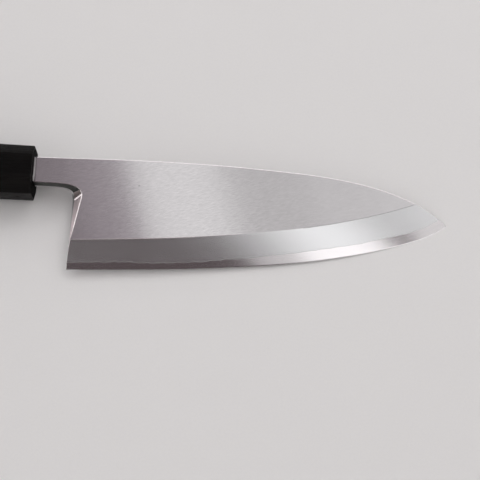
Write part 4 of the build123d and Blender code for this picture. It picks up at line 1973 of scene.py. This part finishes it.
@dataclass(frozen=True)
class SoftBox:
    """Overhead soft box: layers of cloth that add up to an uneven glow.

    Each layer has its reach to the right of the box's left edge, its reach along that edge,
    and its brightness.
    """

    edge: Pair = (0.07, 0.0)
    height: float = 1.0
    layer_gap: float = 0.001
    spin: float = 21.0
    warm: Triple = (1.0, 0.91, 0.99)
    layers: tuple[tuple[str, float, float, float, float, float], ...] = (
        ("upper_cloth", 0.022, 0.8, -0.15, 0.45, 0.64),
        ("lower_cloth", 0.012, 0.342, -0.6, -0.15, 0.62),
        ("lower_end", 0.408, 0.8, -0.6, -0.15, 0.75),
        ("lamp_glow", 0.138, 0.342, -0.6, -0.15, 0.74),
        ("edge_glow", 0.022, 0.165, -0.15, 0.45, 0.33),
        ("far_glow", 0.3, 0.8, -0.15, 0.45, 0.11),
        ("end_glow", 0.41, 0.8, -0.15, 0.45, 0.06),
        ("spill_near", -0.07, 0.022, -0.1, 0.45, 0.12),
        ("spill_far", -0.3, 0.022, -0.1, 0.45, 0.2),
    )

    def panels(self) -> list[Panel]:
        """Turn each layer into a panel, a little apart in height.

        Returns:
            The panels.
        """
        angle = math.radians(self.spin)
        panels = []
        for i, (name, left, right, low, high, brightness) in enumerate(self.layers):
            across, along = (left + right) / 2, (low + high) / 2
            x = self.edge[0] + across * math.cos(angle) - along * math.sin(angle)
            y = self.edge[1] + across * math.sin(angle) + along * math.cos(angle)
            colour = self.warm if name.startswith("spill") else (1.0, 1.0, 1.0)
            place = (x, y, self.height - self.layer_gap * i)
            size = (right - left, high - low)
            panels.append(Panel(name, place, size, brightness, spin=self.spin, colour=colour))
        return panels


@dataclass(frozen=True)
class PanelRing:
    """Panels round the table: some light the table, the others wash the backdrop."""

    towards_table: tuple[float, ...] = (50.0, 105.0, 160.0, 205.0)
    towards_backdrop: tuple[float, ...] = (0.0, 90.0, 180.0, 270.0)
    distance: float = 1.45
    height: float = 1.6
    size: Pair = (1.6, 0.9)
    brightness: float = 1.15
    wash_distance: float = 1.0
    wash_height: float = 1.6
    wash_aim: Pair = (2.8, 1.0)
    wash_size: Pair = (2.6, 1.2)
    wash_brightness: float = 1.4

    def panels(self) -> list[Panel]:
        """Set the panels at their azimuths.

        Returns:
            The panels that light the table, then those that wash the backdrop.
        """
        panels = []
        for azimuth in self.towards_table:
            place = self._around(azimuth, self.distance, self.height)
            panels.append(Panel(f"table_{azimuth:.0f}", place, self.size, self.brightness, aim=(0, 0, 0)))
        for azimuth in self.towards_backdrop:
            place = self._around(azimuth, self.wash_distance, self.wash_height)
            aim = self._around(azimuth, *self.wash_aim)
            panels.append(Panel(f"wash_{azimuth:.0f}", place, self.wash_size, self.wash_brightness, aim=aim))
        return panels

    @staticmethod
    def _around(azimuth: float, distance: float, height: float) -> Triple:
        """Place at an azimuth in degrees, a distance and a height."""
        angle = math.radians(azimuth)
        return (distance * math.cos(angle), distance * math.sin(angle), height)


@dataclass
class Studio:
    """Pale floor that curves up into a round backdrop, soft panels, room light and camera."""

    floor_radius: float = 2.2
    curve_radius: float = 0.6
    wall_top: float = 2.6
    middle_share: float = 0.4
    turns: int = 96
    bend_steps: int = 12
    paper: Paper = Paper("backdrop_paper", (0.84, 0.835, 0.83), 0.9)
    room: Triple = (0.1, 0.079, 0.083)
    camera_place: Triple = (0.055813, -0.166178, 0.47083)
    camera_turn: Triple = (18.3705, -1.9528, 1.852)
    lens: float = 77.88
    sensor: float = 36.0
    soft_box: SoftBox = SoftBox()
    ring: PanelRing = PanelRing()

    def build(self, kit: EffectKit) -> None:
        """Set up the whole studio.

        Args:
            kit: The shared effects.
        """
        self._backdrop(kit)
        for panel in self.soft_box.panels() + self.ring.panels():
            panel.hang()
            log.info("light panel %s", panel.name)
        world = bpy.data.worlds.new("room_light")
        world.use_nodes = True
        ground = next(node for node in world.node_tree.nodes if node.type == "BACKGROUND")
        ground.inputs["Color"].default_value = (*self.room, 1)
        ground.inputs["Strength"].default_value = 1.0
        bpy.context.scene.world = world
        self._camera()

    def _backdrop(self, kit: EffectKit) -> None:
        """Turn the floor and backdrop as one surface.

        Args:
            kit: The shared effects.
        """
        turns = self.turns
        profile = [(0.0, 0.0), (self.middle_share * self.floor_radius, 0.0), (self.floor_radius, 0.0)]
        for degrees in np.linspace(0, 90, self.bend_steps + 1)[1:]:
            angle = math.radians(degrees)
            out = self.floor_radius + self.curve_radius * math.sin(angle)
            profile.append((out, self.curve_radius * (1 - math.cos(angle))))
        profile.append((profile[-1][0], self.wall_top))
        points = [(0.0, 0.0, 0.0)]
        for radius, height in profile[1:]:
            for i in range(turns):
                angle = math.tau * i / turns
                points.append((radius * math.cos(angle), radius * math.sin(angle), height))
        faces = [(0, 1 + i, 1 + (i + 1) % turns) for i in range(turns)]
        for ring in range(len(profile) - 2):
            low, high = 1 + ring * turns, 1 + (ring + 1) * turns
            for i in range(turns):
                j = (i + 1) % turns
                faces.append((low + i, high + i, high + j, low + j))
        mesh = bpy.data.meshes.new("backdrop")
        mesh.from_pydata(points, [], faces)
        mesh.polygons.foreach_set("use_smooth", [True] * len(faces))
        mesh.materials.append(self.paper.make(kit))
        backdrop = new_object("backdrop", mesh)

    def _camera(self) -> None:
        """Set the camera at the photograph's angle."""
        lens = bpy.data.cameras.new("table_camera")
        lens.lens = self.lens
        lens.sensor_width = self.sensor
        camera = new_object("table_camera", lens)
        camera.location = self.camera_place
        camera.rotation_euler = [math.radians(angle) for angle in self.camera_turn]
        bpy.context.scene.camera = camera


@dataclass
class Inside:
    """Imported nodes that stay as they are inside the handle, and their finishes."""

    dressed: tuple[tuple[str, str], ...] = (
        ("core_dowel", "dowel"), ("tang_bedding", "bedding"), ("mouth_seal", "seal"),
    )

    def dress(self, frame: dict, materials: Materials) -> None:
        """Give each node its material.

        Args:
            frame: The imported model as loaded.
            materials: Materials by finish name.
        """
        for node, finish in self.dressed:
            piece = frame["nodes"][node]
            for place in piece.material_slots:
                place.material = materials[finish]
            log.info("dressed %s as %s", node, finish)


def settle(piece: bpy.types.Object, node: str) -> None:
    """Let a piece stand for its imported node.

    Args:
        piece: The finished piece.
        node: Node that it replaces.
    """
    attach(piece, BODY)
    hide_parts(node)
    log.info("%s: %d faces in place of %s", piece.name, len(piece.data.polygons), node)


def main() -> None:
    """Build the studio and the knife, piece by piece."""
    logging.basicConfig(level=logging.INFO, format="%(name)s: %(message)s")
    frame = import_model()
    scene = bpy.context.scene
    scene.view_settings.view_transform = "Standard"
    kit = EffectKit()
    Studio().build(kit)
    materials = {name: finish.make(kit) for name, finish in FINISHES.items()}
    blade = Blade(BladeForm(), Tang())
    settle(blade.build_iron(materials), "jigane_body")
    settle(blade.build_steel(materials), "hagane_layer")
    handle = Handle()
    settle(handle.build_ferrule(materials), "horn_ferrule")
    settle(handle.build_grip(materials), "grip")
    bead = MouthBead(blade.form).build(materials)
    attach(bead, BODY)
    log.info("%s: %d faces", bead.name, len(bead.data.polygons))
    Inside().dress(frame, materials)


if __name__ == "__main__":
    main()
